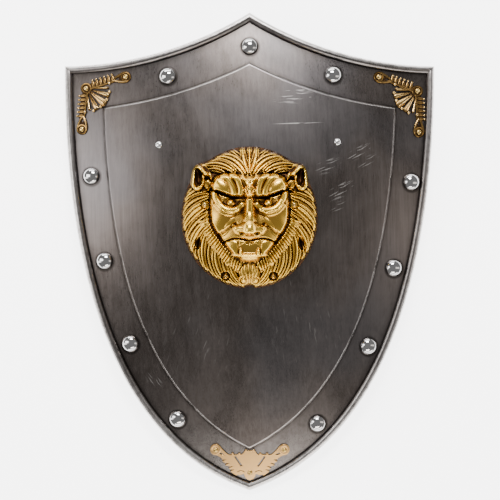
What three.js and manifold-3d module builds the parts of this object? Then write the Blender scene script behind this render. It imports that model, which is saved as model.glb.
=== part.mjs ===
// A heater shield of steel sheet with a wired edge, a raised inner panel, a cast lion's head, brass corner
// fittings, domed rivets and a strap handle behind. Millimetres, +Z out of the shield's front, +Y towards its
// top. The shield lies face up and touches the floor at z = 0 with its two upper corners and its tip.
import * as THREE from "three";
import Module from "manifold-3d";
import { mergeVertices } from "three/addons/utils/BufferGeometryUtils.js";

const wasm = await Module();
wasm.setup();

// Driving sizes of the shield
const HEIGHT = 610;
const HALF_WIDTH = 236.4;
const CORNER_DROP = 67.3;
const TOP_ARC_RADIUS = 448.5;
const SIDE_HANDLES = { upper: 0.442, upperLean: 0.2, lower: 0.358, lowerRise: 19.4 };
const ACROSS_RADIUS = 600;
const CROWN_DROP = 256;
const SHEET = 1.3;
const GAP = 0.3;

// Wired edge
const BEAD_RADIUS = 5;
const BEAD_LIFT = 2.5;
const BEAD_ANGLES = [-141.7, -90, -45, 0, 45, 90, 140, 202];

// Raised inner panel
const BORDER = { peak: 63.2, side: 49.3, corner: 52.3, tip: 51.9 };
const PANEL_ARC_RADIUS = 519;
const PANEL_HANDLES = { upper: 0.383, upperLean: 1.4, lower: 0.374, lowerRise: 26.4 };
const PANEL_RAISE = 2.5;
const PANEL_STEP_RUN = 4;
const PANEL_RINGS = [0.75, 0.5, 0.25];

// Stations round the outline
const ARC_STEPS = 5;
const SIDE_STEPS = 18;

// Domed rivets: the share of the upper arc or side at which each stands, and how far in across the border
const DOME = { radius: 11.2, height: 8.4, shank: 2.5, tail: 4.5, tailHeight: 2, sides: 8 };
const PEAK_RIVET = { along: 0, across: 0.62 };
const ARC_RIVETS = { left: { along: 0.52, across: 0.5 }, right: { along: 0.525, across: 0.45 } };
const SIDE_RIVETS = {
  left: [
    { along: 0.185, across: 0.47 },
    { along: 0.37, across: 0.45 },
    { along: 0.565, across: 0.42 },
    { along: 0.78, across: 0.4 },
  ],
  right: [
    { along: 0.2, across: 0.33 },
    { along: 0.385, across: 0.42 },
    { along: 0.57, across: 0.4 },
    { along: 0.795, across: 0.4 },
  ],
};

// Strap handle behind, and the two small rivets that hold it, by their fall below the peak
const HANDLE_RIVET_PLACES = [
  { x: -115.1, drop: 168.9 },
  { x: 111.7, drop: 165.2 },
];
const HANDLE = { width: 25, thickness: 2.5, foot: 16, bow: 30, rise: 34, overhang: 12 };
const SMALL_RIVET = { radius: 4.3, height: 2.5, shank: 2, tail: 3.6, tailHeight: 1.4, sides: 6 };

// Brass fittings: the middle pin's place from its corner of the outline, and the fan's way in degrees from +X
const LEFT_FITTING = { fromCorner: [28.2, -28.8], points: -40.1 };
const RIGHT_FITTING = { fromCorner: [-22.1, -32.1], points: -143.8 };
const TIP_FITTING = { fromCorner: [0.5, 23.3], points: 90 };
const FITTING = { thickness: 1.6, ridge: 1.6, arm: 52.7, armAngle: 34.2, pad: 6.8, hub: 7 };
const PETALS = [
  { turn: -41, length: 29, half: 2.2 },
  { turn: -22, length: 31.5, half: 3.6 },
  { turn: 0, length: 33, half: 5 },
  { turn: 22, length: 31.5, half: 3.6 },
  { turn: 41, length: 29, half: 2.2 },
];
const TEETH = 5;
const TOOTH_PITCH = 5.7;
const PIN = { radius: 3.3, height: 2, shank: 1.2, tail: 2.2, tailHeight: 1.2, sides: 6 };

// Lion's head boss
const LION_DROP = 261.4;
const LION_SCALE = 0.99;
const LION_RINGS = 18;
const LION_SCREWS = [
  { x: -57.2, y: 16.1, seat: 17 },
  { x: 57.2, y: 16.1, seat: 17 },
  { x: -30.2, y: -75, seat: 8 },
  { x: 30.2, y: -75, seat: 8 },
];
const SCREW = { radius: 3.5, height: 2.4, shank: 1.5, tail: 2.8, tailHeight: 1.4, sides: 6, pocket: 4.6 };

const STEEL = new THREE.MeshStandardMaterial({ color: 0x55504d, roughness: 0.42, metalness: 1 });
const CHROME = new THREE.MeshStandardMaterial({ color: 0xd6d7da, roughness: 0.1, metalness: 1 });
const BRASS = new THREE.MeshStandardMaterial({ color: 0xd8b98a, roughness: 0.35, metalness: 1 });
const GOLD = new THREE.MeshStandardMaterial({ color: 0xc2932e, roughness: 0.35, metalness: 1 });

// Small helpers
const rad = THREE.MathUtils.degToRad;
const clamp = THREE.MathUtils.clamp;
const lerp = THREE.MathUtils.lerp;
const smooth = (low, high, v) => THREE.MathUtils.smoothstep(v, low, high);
const mix = (p, q, t) => [lerp(p[0], q[0], t), lerp(p[1], q[1], t)];

function solid(geometry) {
  const bare = geometry.clone();
  bare.deleteAttribute("normal");
  bare.deleteAttribute("uv");
  const merged = mergeVertices(bare, 1e-4);
  const mesh = new wasm.Mesh({
    numProp: 3,
    vertProperties: new Float32Array(merged.attributes.position.array),
    triVerts: new Uint32Array(merged.index.array),
  });
  return new wasm.Manifold(mesh);
}

function bufferOf(body) {
  const mesh = body.getMesh();
  const count = mesh.numVert;
  const places = new Float32Array(count * 3);
  for (let i = 0; i < count; i++) {
    places.set(mesh.vertProperties.subarray(i * mesh.numProp, i * mesh.numProp + 3), i * 3);
  }
  const geometry = new THREE.BufferGeometry();
  geometry.setAttribute("position", new THREE.BufferAttribute(places, 3));
  geometry.setIndex(new THREE.BufferAttribute(new Uint32Array(mesh.triVerts), 1));
  geometry.computeVertexNormals();
  return geometry;
}

function closedBody(points, faces) {
  const geometry = new THREE.BufferGeometry();
  geometry.setAttribute("position", new THREE.Float32BufferAttribute(points.flat(), 3));
  geometry.setIndex(faces.flat());
  return solid(geometry);
}

// Joins rings of equal point count into a closed skin, from a first pole to a last one
function ringBody(firstPole, rings, lastPole) {
  const count = rings[0].length;
  const points = [firstPole, ...rings.flat(), lastPole];
  const at = (ring, i) => 1 + ring * count + (i % count);
  const last = points.length - 1;
  const faces = [];
  for (let i = 0; i < count; i++) {
    faces.push([0, at(0, i), at(0, i + 1)]);
    for (let r = 0; r + 1 < rings.length; r++) {
      faces.push([at(r, i), at(r + 1, i), at(r + 1, i + 1)]);
      faces.push([at(r, i), at(r + 1, i + 1), at(r, i + 1)]);
    }
    faces.push([last, at(rings.length - 1, i + 1), at(rings.length - 1, i)]);
  }
  return closedBody(points, faces);
}

function turned(profile, sides) {
  const points = profile.map(([r, z]) => new THREE.Vector2(r, z));
  const geometry = new THREE.LatheGeometry(points, sides);
  geometry.rotateX(Math.PI / 2);
  return solid(geometry);
}

function flatBody(outline, holes, low, high) {
  const shape = new THREE.Shape(outline.map(([x, y]) => new THREE.Vector2(x, y)));
  shape.holes = holes.map((hole) => new THREE.Path(hole.map(([x, y]) => new THREE.Vector2(x, y))));
  const geometry = new THREE.ExtrudeGeometry(shape, { depth: high - low, bevelEnabled: false });
  geometry.translate(0, 0, low);
  return solid(geometry);
}

function disc(x, y, radius, sides) {
  return Array.from({ length: sides }, (_, i) => {
    const a = (i / sides) * 2 * Math.PI;
    return [x + radius * Math.cos(a), y + radius * Math.sin(a)];
  });
}

// Outline of the shield and of its panel: a concave arc from the peak to each corner, then a side to the tip
function cubic(p, q, r, s, t) {
  const u = 1 - t;
  const w = [u * u * u, 3 * u * u * t, 3 * u * t * t, t * t * t];
  return [0, 1].map((k) => w[0] * p[k] + w[1] * q[k] + w[2] * r[k] + w[3] * s[k]);
}

function heaterCurves(halfWidth, peakY, cornerY, tipY, arcRadius, handles) {
  const peak = [0, peakY];
  const corner = [halfWidth, cornerY];
  const tip = [0, tipY];
  const chord = Math.hypot(halfWidth, peakY - cornerY);
  const sag = Math.sqrt(arcRadius ** 2 - (chord / 2) ** 2);
  const along = [(corner[0] - peak[0]) / chord, (corner[1] - peak[1]) / chord];
  const middle = mix(peak, corner, 0.5);
  const centre = [middle[0] - along[1] * sag, middle[1] + along[0] * sag];
  const start = Math.atan2(peak[1] - centre[1], peak[0] - centre[0]);
  const end = Math.atan2(corner[1] - centre[1], corner[0] - centre[0]);
  const lean = rad(handles.upperLean);
  const rise = rad(handles.lowerRise);
  const upperReach = handles.upper * (cornerY - tipY);
  const lowerReach = handles.lower * (cornerY - tipY);
  const upper = [corner[0] - upperReach * Math.sin(lean), corner[1] - upperReach * Math.cos(lean)];
  const lower = [tip[0] + lowerReach * Math.cos(rise), tip[1] + lowerReach * Math.sin(rise)];
  return {
    arc: (t) => {
      const a = lerp(start, end, t);
      return [centre[0] + arcRadius * Math.cos(a), centre[1] + arcRadius * Math.sin(a)];
    },
    side: (t) => cubic(corner, upper, lower, tip, t),
  };
}

const PEAK_Y = HEIGHT / 2;
const CORNER_Y = PEAK_Y - CORNER_DROP;
const TIP_Y = PEAK_Y - HEIGHT;
const LION = { x: 0, y: PEAK_Y - LION_DROP };
const HANDLE_RIVETS = HANDLE_RIVET_PLACES.map(({ x, drop }) => [x, PEAK_Y - drop]);
const OUTER = heaterCurves(HALF_WIDTH, PEAK_Y, CORNER_Y, TIP_Y, TOP_ARC_RADIUS, SIDE_HANDLES);
const PANEL = heaterCurves(
  HALF_WIDTH - BORDER.side,
  PEAK_Y - BORDER.peak,
  CORNER_Y - BORDER.corner,
  TIP_Y + BORDER.tip,
  PANEL_ARC_RADIUS,
  PANEL_HANDLES,
);

// Stations run anticlockwise seen from the front: tip, right side, right corner, peak, and back on the left
function stations(curves) {
  const right = [];
  for (let i = 0; i < SIDE_STEPS; i++) right.push(curves.side(1 - i / SIDE_STEPS));
  for (let i = 0; i < ARC_STEPS; i++) right.push(curves.arc(1 - i / ARC_STEPS));
  const left = right.slice(1).reverse();
  return [...right, curves.arc(0), ...left.map(([x, y]) => [-x, y])];
}

// How far a point moves for each millimetre that the outline is drawn in, mitred at a bend
function inward(points) {
  const count = points.length;
  return points.map((p, i) => {
    const before = points[(i + count - 1) % count];
    const after = points[(i + 1) % count];
    const a = new THREE.Vector2(p[0] - before[0], p[1] - before[1]).normalize();
    const b = new THREE.Vector2(after[0] - p[0], after[1] - p[1]).normalize();
    const normal = new THREE.Vector2(-a.y - b.y, a.x + b.x);
    const stretch = 2 / normal.lengthSq();
    return [normal.x * stretch, normal.y * stretch];
  });
}

const EDGE = stations(OUTER);
const EDGE_IN = inward(EDGE);
const FOOT = stations(PANEL);
const FOOT_IN = inward(FOOT);
const drawnIn = (points, ways, d) => points.map((p, i) => [p[0] + ways[i][0] * d, p[1] + ways[i][1] * d]);

// The sheet's middle surface, curved both ways so that both corners and the tip share the floor
const CROWN_Y = PEAK_Y - CROWN_DROP;
const BEAD_LINE = drawnIn(EDGE, EDGE_IN, BEAD_RADIUS);
const CORNER_INDEX = SIDE_STEPS;
const CORNER_AT = BEAD_LINE[CORNER_INDEX];
const TIP_AT = BEAD_LINE[0];
const CORNER_FALL = CORNER_AT[0] ** 2 / (2 * ACROSS_RADIUS);
const ALONG_CURVE = CORNER_FALL / ((TIP_AT[1] - CROWN_Y) ** 2 - (CORNER_AT[1] - CROWN_Y) ** 2);
const CROWN_Z = ALONG_CURVE * (TIP_AT[1] - CROWN_Y) ** 2 + BEAD_RADIUS - BEAD_LIFT;
const sheetZ = (x, y) => CROWN_Z - x ** 2 / (2 * ACROSS_RADIUS) - ALONG_CURVE * (y - CROWN_Y) ** 2;
const sheetNormal = (x, y) => {
  return new THREE.Vector3(x / ACROSS_RADIUS, 2 * ALONG_CURVE * (y - CROWN_Y), 1).normalize();
};

const SHOULDER = drawnIn(FOOT, FOOT_IN, PANEL_STEP_RUN);
const MIDDLE = [LION.x, LION.y];
const onSheet = (points, lift) => points.map(([x, y]) => [x, y, sheetZ(x, y) + lift]);
const between = (from, to, t) => from.map((p, i) => mix(p, to[i], t));
const towardsMiddle = (share) => SHOULDER.map((p) => mix(MIDDLE, p, share));

// One face of the sheet, from the edge's crease to the last ring of the panel
function faceRings(creaseInset, lift) {
  const crease = drawnIn(EDGE, EDGE_IN, creaseInset);
  return [
    onSheet(crease, lift),
    onSheet(between(crease, FOOT, 0.5), lift),
    onSheet(FOOT, lift),
    onSheet(SHOULDER, lift + PANEL_RAISE),
    ...PANEL_RINGS.map((share) => onSheet(towardsMiddle(share), lift + PANEL_RAISE)),
  ];
}

const beadInset = (degrees) => BEAD_RADIUS * (1 - Math.cos(rad(degrees)));
const UNDER = faceRings(beadInset(BEAD_ANGLES[0]), -SHEET / 2);
const OVER = faceRings(beadInset(BEAD_ANGLES.at(-1)), SHEET / 2);
const BEAD = BEAD_ANGLES.slice(1, -1).map((degrees) => {
  const ring = drawnIn(EDGE, EDGE_IN, beadInset(degrees));
  return ring.map(([x, y], i) => {
    const [cx, cy] = BEAD_LINE[i];
    return [x, y, sheetZ(cx, cy) + BEAD_LIFT + BEAD_RADIUS * Math.sin(rad(degrees))];
  });
});
const pole = (lift) => [...MIDDLE, sheetZ(...MIDDLE) + lift + PANEL_RAISE];

function plateBody() {
  const rings = [...UNDER.slice().reverse(), ...BEAD, ...OVER];
  return ringBody(pole(-SHEET / 2), rings.map((ring) => ring.slice().reverse()), pole(SHEET / 2));
}

// Everything under the sheet's front, or over its back, used to trim what is seated on that face
function blockUnder() {
  const floor = OVER[0].map(([x, y]) => [x, y, -200]);
  const rings = [floor, ...OVER].map((ring) => ring.slice().reverse());
  return ringBody([...MIDDLE, -200], rings, pole(SHEET / 2)).translate([0, 0, GAP]);
}

function blockOver() {
  const roof = UNDER[0].map(([x, y]) => [x, y, 300]);
  return ringBody([...MIDDLE, 300], [roof, ...UNDER], pole(-SHEET / 2)).translate([0, 0, -GAP]);
}

const BELOW_FRONT = blockUnder();
const ABOVE_BACK = blockOver();

// The frame of something that stands on the front of the border or the panel
function seat(x, y, turnDegrees, raised) {
  const up = sheetNormal(x, y);
  const turn = new THREE.Quaternion().setFromUnitVectors(new THREE.Vector3(0, 0, 1), up);
  turn.multiply(new THREE.Quaternion().setFromAxisAngle(new THREE.Vector3(0, 0, 1), rad(turnDegrees)));
  const place = new THREE.Vector3(x, y, sheetZ(x, y) + SHEET / 2 + (raised ? PANEL_RAISE : 0));
  return new THREE.Matrix4().compose(place, turn, new THREE.Vector3(1, 1, 1));
}

const placed = (body, frame) => body.transform(frame.elements);
const frameAt = (frame, x, y, z) => frame.clone().multiply(new THREE.Matrix4().makeTranslation(x, y, z));

// A headed pin: dome, shank and hammered tail, with the head's seat at z = 0 and grip millimetres of shank
function headProfile(size) {
  return [
    [0, size.height],
    [size.radius * 0.53, size.height * 0.84],
    [size.radius * 0.88, size.height * 0.44],
    [size.radius, 0],
  ];
}

function shankProfile(size, grip) {
  return [
    [size.shank, -grip],
    [size.tail, -grip],
    [size.tail * 0.7, -grip - size.tailHeight],
    [0, -grip - size.tailHeight],
  ];
}

function headedPin(size, grip) {
  const profile = [...headProfile(size), [size.shank, 0], ...shankProfile(size, grip)];
  return turned(profile.reverse(), size.sides);
}

const drill = (size, reach) => {
  const r = size.shank + GAP;
  return turned([[0, -reach], [r, -reach], [r, reach], [0, reach]], size.sides);
};

const parts = [];
const holes = [];
function keep(name, body, material) {
  parts.push({ name, body, material });
}

// Domed rivets along the middle of the border; the dome's foot is trimmed to the sheet
function borderPoint(kind, { along, across }) {
  const outer = OUTER[kind](along);
  const inner = PANEL[kind](along);
  const width = Math.hypot(outer[0] - inner[0], outer[1] - inner[1]);
  return mix(outer, inner, lerp((2 * BEAD_RADIUS) / width, 1, across));
}

const TAIL_GRIP = SHEET + 3 * GAP;
function domeRivet(name, [x, y]) {
  const frame = seat(x, y, 0, false);
  const skirt = [...headProfile(DOME), [DOME.radius, -1.5], [0, -1.5]];
  const head = placed(turned(skirt.reverse(), DOME.sides), frame).subtract(BELOW_FRONT);
  const core = [[0, 4], [DOME.shank, 4], ...shankProfile(DOME, TAIL_GRIP)];
  keep(name, head.add(placed(turned(core.reverse(), DOME.sides), frame)), CHROME);
  holes.push(placed(drill(DOME, 12), frame));
}

domeRivet("rivet_peak", borderPoint("arc", PEAK_RIVET));
for (const [half, sign] of [["left", -1], ["right", 1]]) {
  const onHalf = ([x, y]) => [sign * x, y];
  domeRivet(`rivet_top_${half}`, onHalf(borderPoint("arc", ARC_RIVETS[half])));
  SIDE_RIVETS[half].forEach((at, i) => domeRivet(`rivet_${half}_${i + 1}`, onHalf(borderPoint("side", at))));
}

// Brass fittings. Local x runs across, local y the way the fan points, the middle pin is at the origin
function petal({ turn, length, half }) {
  const inner = FITTING.hub * 0.6;
  const top = FITTING.thickness;
  const section = (r, w, ridge) => [
    [-w, r, -3],
    [w, r, -3],
    [w, r, top * 0.7],
    [0, r, top + ridge],
    [-w, r, top * 0.7],
  ];
  const sections = [
    section(inner, half * 0.45, 0),
    section(length * 0.8, half, FITTING.ridge),
    section(length, half * 0.55, FITTING.ridge * 0.3),
  ];
  const count = sections[0].length;
  const faces = [];
  for (let s = 0; s < 2; s++) {
    for (let i = 0; i < count; i++) {
      const j = (i + 1) % count;
      faces.push([s * count + i, s * count + j, (s + 1) * count + j]);
      faces.push([s * count + i, (s + 1) * count + j, (s + 1) * count + i]);
    }
  }
  for (let i = 1; i + 1 < count; i++) {
    faces.push([0, i + 1, i]);
    faces.push([2 * count, 2 * count + i, 2 * count + i + 1]);
  }
  return closedBody(sections.flat(), faces.map((f) => f.slice().reverse())).rotate([0, 0, turn]);
}

// One arm along +x: a band with teeth on its outer edge, then a slotted neck and the round end pad
function armBody() {
  const end = FITTING.arm;
  const teeth = [];
  for (let k = TEETH - 1; k >= 0; k--) {
    const a = 10 + k * TOOTH_PITCH;
    teeth.push([a + TOOTH_PITCH * 0.75, -5.5], [a + TOOTH_PITCH * 0.5, -8.5], [a + TOOTH_PITCH * 0.2, -5.5]);
  }
  const pad = disc(end, 0, FITTING.pad, 10);
  const around = [8, 9, 0, 1, 2].map((i) => pad[i]);
  const outline = [[2, 3], [36, 2.2], [44, 4.6], ...around.reverse(), [44, -5.6], [39, -4.5], ...teeth, [2, -3]];
  const slot = [[38.5, -0.5], [43, 1.8], [45, 0.4], [43, -1.6]];
  return flatBody(outline.slice().reverse(), [slot], -3, FITTING.thickness);
}

function armPair() {
  const right = armBody().rotate([0, 0, FITTING.armAngle]);
  return right.add(right.mirror([1, 0, 0]));
}

function hubBody() {
  const top = FITTING.thickness;
  return turned([[0, -3], [FITTING.hub, -3], [FITTING.hub, top], [0, top]], 10);
}

function cornerFitting() {
  const tips = PETALS.map(({ turn, length, half }) => {
    const ball = turned([[0, -3], [half * 0.6, -3], [half * 0.6, 1.4], [0, 2.6]], 5);
    return ball.translate([0, length, 0]).rotate([0, 0, turn]);
  });
  return [...PETALS.map(petal), ...tips].reduce((sum, body) => sum.add(body), armPair().add(hubBody()));
}

// The tip's fitting is the same blank left flat: a broad fan with two slits
function flatFitting() {
  const fan = [[-28, 19.5], [-6, 2], [6, 2], [28, 19.5], [21, 23], [13, 23.5], [7, 27], [-7, 27], [-13, 23.5], [-21, 23]];
  const slit = (side) => [[19.8, 21.4], [18, 22.4], [9.4, 9], [11, 8]].map(([x, y]) => [side * x, y]);
  const body = flatBody(fan, [slit(1), slit(-1)], -3, FITTING.thickness);
  const lobe = turned([[0, -3], [6.4, -3], [6.4, FITTING.thickness], [0, FITTING.thickness]], 10);
  return body.add(lobe.translate([0, -3.2, 0])).add(hubBody()).add(armPair());
}

function addFitting(name, shape, corner, place, pinsFrom) {
  const [x, y] = corner.map((value, k) => value + place.fromCorner[k]);
  const frame = seat(x, y, place.points - 90, false);
  let body = placed(shape, frame).subtract(BELOW_FRONT);
  const a = rad(FITTING.armAngle);
  const ends = [
    [0, 0, FITTING.thickness],
    [FITTING.arm * Math.cos(a), FITTING.arm * Math.sin(a), FITTING.thickness],
    [-FITTING.arm * Math.cos(a), FITTING.arm * Math.sin(a), FITTING.thickness],
  ];
  ends.forEach(([x, y, top], i) => {
    const local = frameAt(frame, x, y, top + GAP);
    const foot = new THREE.Vector3().setFromMatrixPosition(local);
    const grip = foot.z - sheetZ(foot.x, foot.y) + SHEET / 2 + 3 * GAP;
    const hole = placed(drill(PIN, 14), local);
    body = body.subtract(hole);
    holes.push(hole);
    keep(`pin_${pinsFrom}_${i + 1}`, placed(headedPin(PIN, grip), local), BRASS);
  });
  keep(name, body, BRASS);
}

addFitting("fitting_left", cornerFitting(), [-HALF_WIDTH, CORNER_Y], LEFT_FITTING, "left");
addFitting("fitting_right", cornerFitting(), [HALF_WIDTH, CORNER_Y], RIGHT_FITTING, "right");
addFitting("fitting_tip", flatFitting(), [0, TIP_Y], TIP_FITTING, "tip");

// Strap handle: it follows the sheet's curve, stands off in the middle, and its feet touch the back
const HANDLE_MID = mix(...HANDLE_RIVETS, 0.5);
const HANDLE_RUN = [HANDLE_RIVETS[1][0] - HANDLE_RIVETS[0][0], HANDLE_RIVETS[1][1] - HANDLE_RIVETS[0][1]];
const HANDLE_HALF = Math.hypot(...HANDLE_RUN) / 2;
const HANDLE_TURN = Math.atan2(HANDLE_RUN[1], HANDLE_RUN[0]);
const handlePoint = (a, b) => [
  HANDLE_MID[0] + a * Math.cos(HANDLE_TURN) - b * Math.sin(HANDLE_TURN),
  HANDLE_MID[1] + a * Math.sin(HANDLE_TURN) + b * Math.cos(HANDLE_TURN),
];
const BACK_LIFT = PANEL_RAISE - SHEET / 2;
const handleDrop = (a) => HANDLE.bow * (1 - smooth(HANDLE_HALF - HANDLE.foot - HANDLE.rise, HANDLE_HALF - HANDLE.foot, Math.abs(a)));

function handleBody() {
  const reach = HANDLE_HALF + HANDLE.overhang;
  const bend = HANDLE_HALF - HANDLE.foot;
  const stops = [reach, HANDLE_HALF, bend, bend - 8, bend - 17, bend - 26, bend - HANDLE.rise, 30];
  const along = [...stops.map((a) => -a), 0, ...stops.reverse()];
  const w = HANDLE.width / 2;
  const sections = along.map((a) => {
    const high = Math.abs(a) < bend ? 0 : 0.6;
    const corner = (b, drop) => {
      const [x, y] = handlePoint(a, b);
      return [x, y, sheetZ(x, y) + BACK_LIFT - handleDrop(a) - drop];
    };
    return [corner(-w, -high), corner(w, -high), corner(w, HANDLE.thickness), corner(-w, HANDLE.thickness)];
  });
  const faces = [];
  for (let s = 0; s + 1 < sections.length; s++) {
    for (let i = 0; i < 4; i++) {
      const j = (i + 1) % 4;
      faces.push([s * 4 + i, s * 4 + j, s * 4 + 4 + j], [s * 4 + i, s * 4 + 4 + j, s * 4 + 4 + i]);
    }
  }
  const last = (sections.length - 1) * 4;
  faces.push([0, 2, 1], [0, 3, 2], [last, last + 1, last + 2], [last, last + 2, last + 3]);
  return closedBody(sections.flat(), faces.map((f) => f.reverse())).subtract(ABOVE_BACK);
}

let handle = handleBody();
HANDLE_RIVETS.forEach(([x, y], i) => {
  const frame = frameAt(seat(x, y, 0, true), 0, 0, GAP * 1.5);
  const grip = SHEET + HANDLE.thickness + 4 * GAP;
  const hole = placed(drill(SMALL_RIVET, 14), frame);
  handle = handle.subtract(hole);
  holes.push(hole);
  keep(`handle_rivet_${i === 0 ? "left" : "right"}`, placed(headedPin(SMALL_RIVET, grip), frame), CHROME);
});
keep("back_handle", handle, STEEL);

// Relief of the lion's head, as a height over the panel. Its x and y are millimetres from the boss's middle,
// and every feature is drawn once for x >= 0 and mirrored.
const FACE_EDGE = [
  [0, 53], [14, 56], [30, 57], [44, 53], [50, 42], [52.5, 24], [52.6, 8], [51, -7], [45, -19], [37.5, -30],
  [28.5, -41], [21, -50], [10, -57], [0, -58],
];
const BROW_CUT = [[50, 35.5], [36, 30.5], [23, 25.5], [12, 24.8], [0, 24.5]];
const INNER_BROW = [[27, 54], [20.5, 49], [16.5, 42], [14.8, 35], [15.2, 28]];
const EYE = [23.6, 19];
const EYE_FOLDS = [
  { path: [[45, 31.5], [41, 23], [34, 14.5], [25, 10.2], [16, 11], [10.5, 16.5]], half: 4.6, lift: 5.5 },
  { path: [[50, 25], [46, 14.5], [38, 6], [28, 2.6], [19, 3.6], [13, 7.5]], half: 4.4, lift: 3.6 },
  { path: [[51, 12], [45, 2.5], [36, -3], [26, -4.8], [18, -2.5]], half: 4, lift: 2.2 },
];
const CHEEK_FOLD = [[11.6, -3.5], [24, -12], [39, -23]];
const LIP = [[0, -30], [6, -28.5], [12, -27.2], [20, -27], [27, -29], [33, -32]];
const EAR_RIM = [[56, 54], [63, 61], [70, 65.5], [73.5, 54], [72, 39]];
const EAR_CURL = [[47, 50], [54, 55], [58, 48]];
const BOSS_SIDE = 87.5;
const BOSS_TOP = 91;
const LOCK_STEPS = 4;

// Locks of the crown leave the middle stem for the rim, at degrees from the top; the last two end at the ear
const CROWN_LOCKS = [
  { from: [1.5, 57], rim: 4, share: 0.97, bow: -1.5, half: 4.5, lift: 0.5 },
  { from: [3, 56], rim: 15, share: 0.97, bow: 3, half: 6, lift: -0.5 },
  { from: [5, 56], rim: 27, share: 0.97, bow: 6, half: 7.2, lift: 1 },
  { from: [9, 58], rim: 38, share: 0.95, bow: 7, half: 6.8, lift: -0.5 },
  { from: [20, 60], to: [60, 67], bow: 5, half: 6, lift: 0.8 },
  { from: [34, 58], to: [57, 59], bow: 3, half: 4.5, lift: 0 },
];

// Locks that leave the face's edge at a share of its length, some way out from it, and fall along the outline
const FALLING_LOCKS = [
  { leaves: 0.335, out: 2, rim: 74, share: 0.985, bow: 4, half: 6.2, lift: 0.6 },
  { leaves: 0.385, out: 2, rim: 86, share: 0.985, bow: 5, half: 6.5, lift: -0.6 },
  { leaves: 0.44, out: 2, rim: 97, share: 0.985, bow: 4.5, half: 6.8, lift: 0.7 },
  { leaves: 0.5, out: 2, rim: 107, share: 0.985, bow: 4, half: 6.5, lift: -0.4 },
  { leaves: 0.555, out: 2, rim: 116, share: 0.985, bow: 3.5, half: 6.2, lift: 0.5 },
  { leaves: 0.6, out: 12, rim: 127, share: 0.97, bow: 3, half: 4.6, lift: -1.2 },
  { leaves: 0.635, out: 9.8, rim: 140, share: 0.97, bow: 5, half: 6, lift: 0.8 },
  { leaves: 0.69, out: 9.8, rim: 151, share: 0.97, bow: 6, half: 6.2, lift: -0.4 },
  { leaves: 0.75, out: 9.8, rim: 161, share: 0.97, bow: 6, half: 6, lift: 0.7 },
  { leaves: 0.81, out: 9.8, rim: 169, share: 0.97, bow: 5, half: 5.6, lift: -0.3 },
  { leaves: 0.875, out: 9, rim: 175, share: 0.97, bow: 4, half: 4.8, lift: 0.6 },
];
const ROPE_START = 7;

function toPath(x, y, path) {
  const last = path.length - 1;
  let best = { d: Infinity, s: 0 };
  for (let i = 0; i < last; i++) {
    const [ax, ay] = path[i];
    const dx = path[i + 1][0] - ax;
    const dy = path[i + 1][1] - ay;
    const t = clamp(((x - ax) * dx + (y - ay) * dy) / (dx * dx + dy * dy), 0, 1);
    const d = Math.hypot(x - ax - t * dx, y - ay - t * dy);
    if (d < best.d) best = { d, s: (i + t) / last };
  }
  return best;
}

const line = (x, y, path, reach) => Math.exp(-((toPath(x, y, path).d / reach) ** 2));
const roll = (x, y, path, half, power = 0.5) => Math.max(0, 1 - (toPath(x, y, path).d / half) ** 2) ** power;
const swell = (x, y, cx, cy, rx, ry, turn = 0, power = 0.75) => {
  const c = Math.cos(rad(turn));
  const s = Math.sin(rad(turn));
  const u = ((x - cx) * c + (y - cy) * s) / rx;
  const v = (-(x - cx) * s + (y - cy) * c) / ry;
  return Math.max(0, 1 - u * u - v * v) ** power;
};

function bossRadius(angle) {
  const oval = (BOSS_SIDE * BOSS_TOP) / Math.hypot(Math.cos(angle) * BOSS_TOP, Math.sin(angle) * BOSS_SIDE);
  const fromTop = Math.abs(Math.atan2(Math.cos(angle), Math.sin(angle)));
  const ear = 7 * Math.exp(-(((fromTop - rad(47)) / rad(8)) ** 2));
  const notch = 3 * Math.exp(-(((fromTop - Math.PI) / rad(4)) ** 2));
  return oval + ear - notch;
}

function rimPoint(degrees, share) {
  const angle = Math.PI / 2 - rad(degrees);
  const r = bossRadius(angle) * share;
  return [r * Math.cos(angle), r * Math.sin(angle)];
}

function offFaceEdge(leaves, out) {
  const lengths = FACE_EDGE.slice(1).map((p, i) => Math.hypot(p[0] - FACE_EDGE[i][0], p[1] - FACE_EDGE[i][1]));
  let left = leaves * lengths.reduce((sum, length) => sum + length, 0);
  let i = 0;
  while (left > lengths[i]) left -= lengths[i++];
  const way = [0, 1].map((k) => (FACE_EDGE[i + 1][k] - FACE_EDGE[i][k]) / lengths[i]);
  return [FACE_EDGE[i][0] + way[0] * left - way[1] * out, FACE_EDGE[i][1] + way[1] * left + way[0] * out];
}

const LOCKS = [...CROWN_LOCKS, ...FALLING_LOCKS].map((lock) => {
  const from = lock.from ?? offFaceEdge(lock.leaves, lock.out);
  const to = lock.to ?? rimPoint(lock.rim, lock.share);
  const length = Math.hypot(to[0] - from[0], to[1] - from[1]);
  const side = [(to[1] - from[1]) / length, -(to[0] - from[0]) / length];
  const middle = mix(from, to, 0.5);
  const control = [middle[0] - side[0] * lock.bow * 2, middle[1] - side[1] * lock.bow * 2];
  const path = Array.from({ length: LOCK_STEPS + 1 }, (_, i) => {
    const t = i / LOCK_STEPS;
    return mix(mix(from, control, t), mix(control, to, t), t);
  });
  return { path, half: lock.half, lift: lock.lift };
});

function insideFace(x, y) {
  let inside = false;
  for (let i = 0; i + 1 < FACE_EDGE.length; i++) {
    const [ax, ay] = FACE_EDGE[i];
    const [bx, by] = FACE_EDGE[i + 1];
    if (ay > y !== by > y && x < ax + ((y - ay) / (by - ay)) * (bx - ax)) inside = !inside;
  }
  return inside;
}

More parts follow.
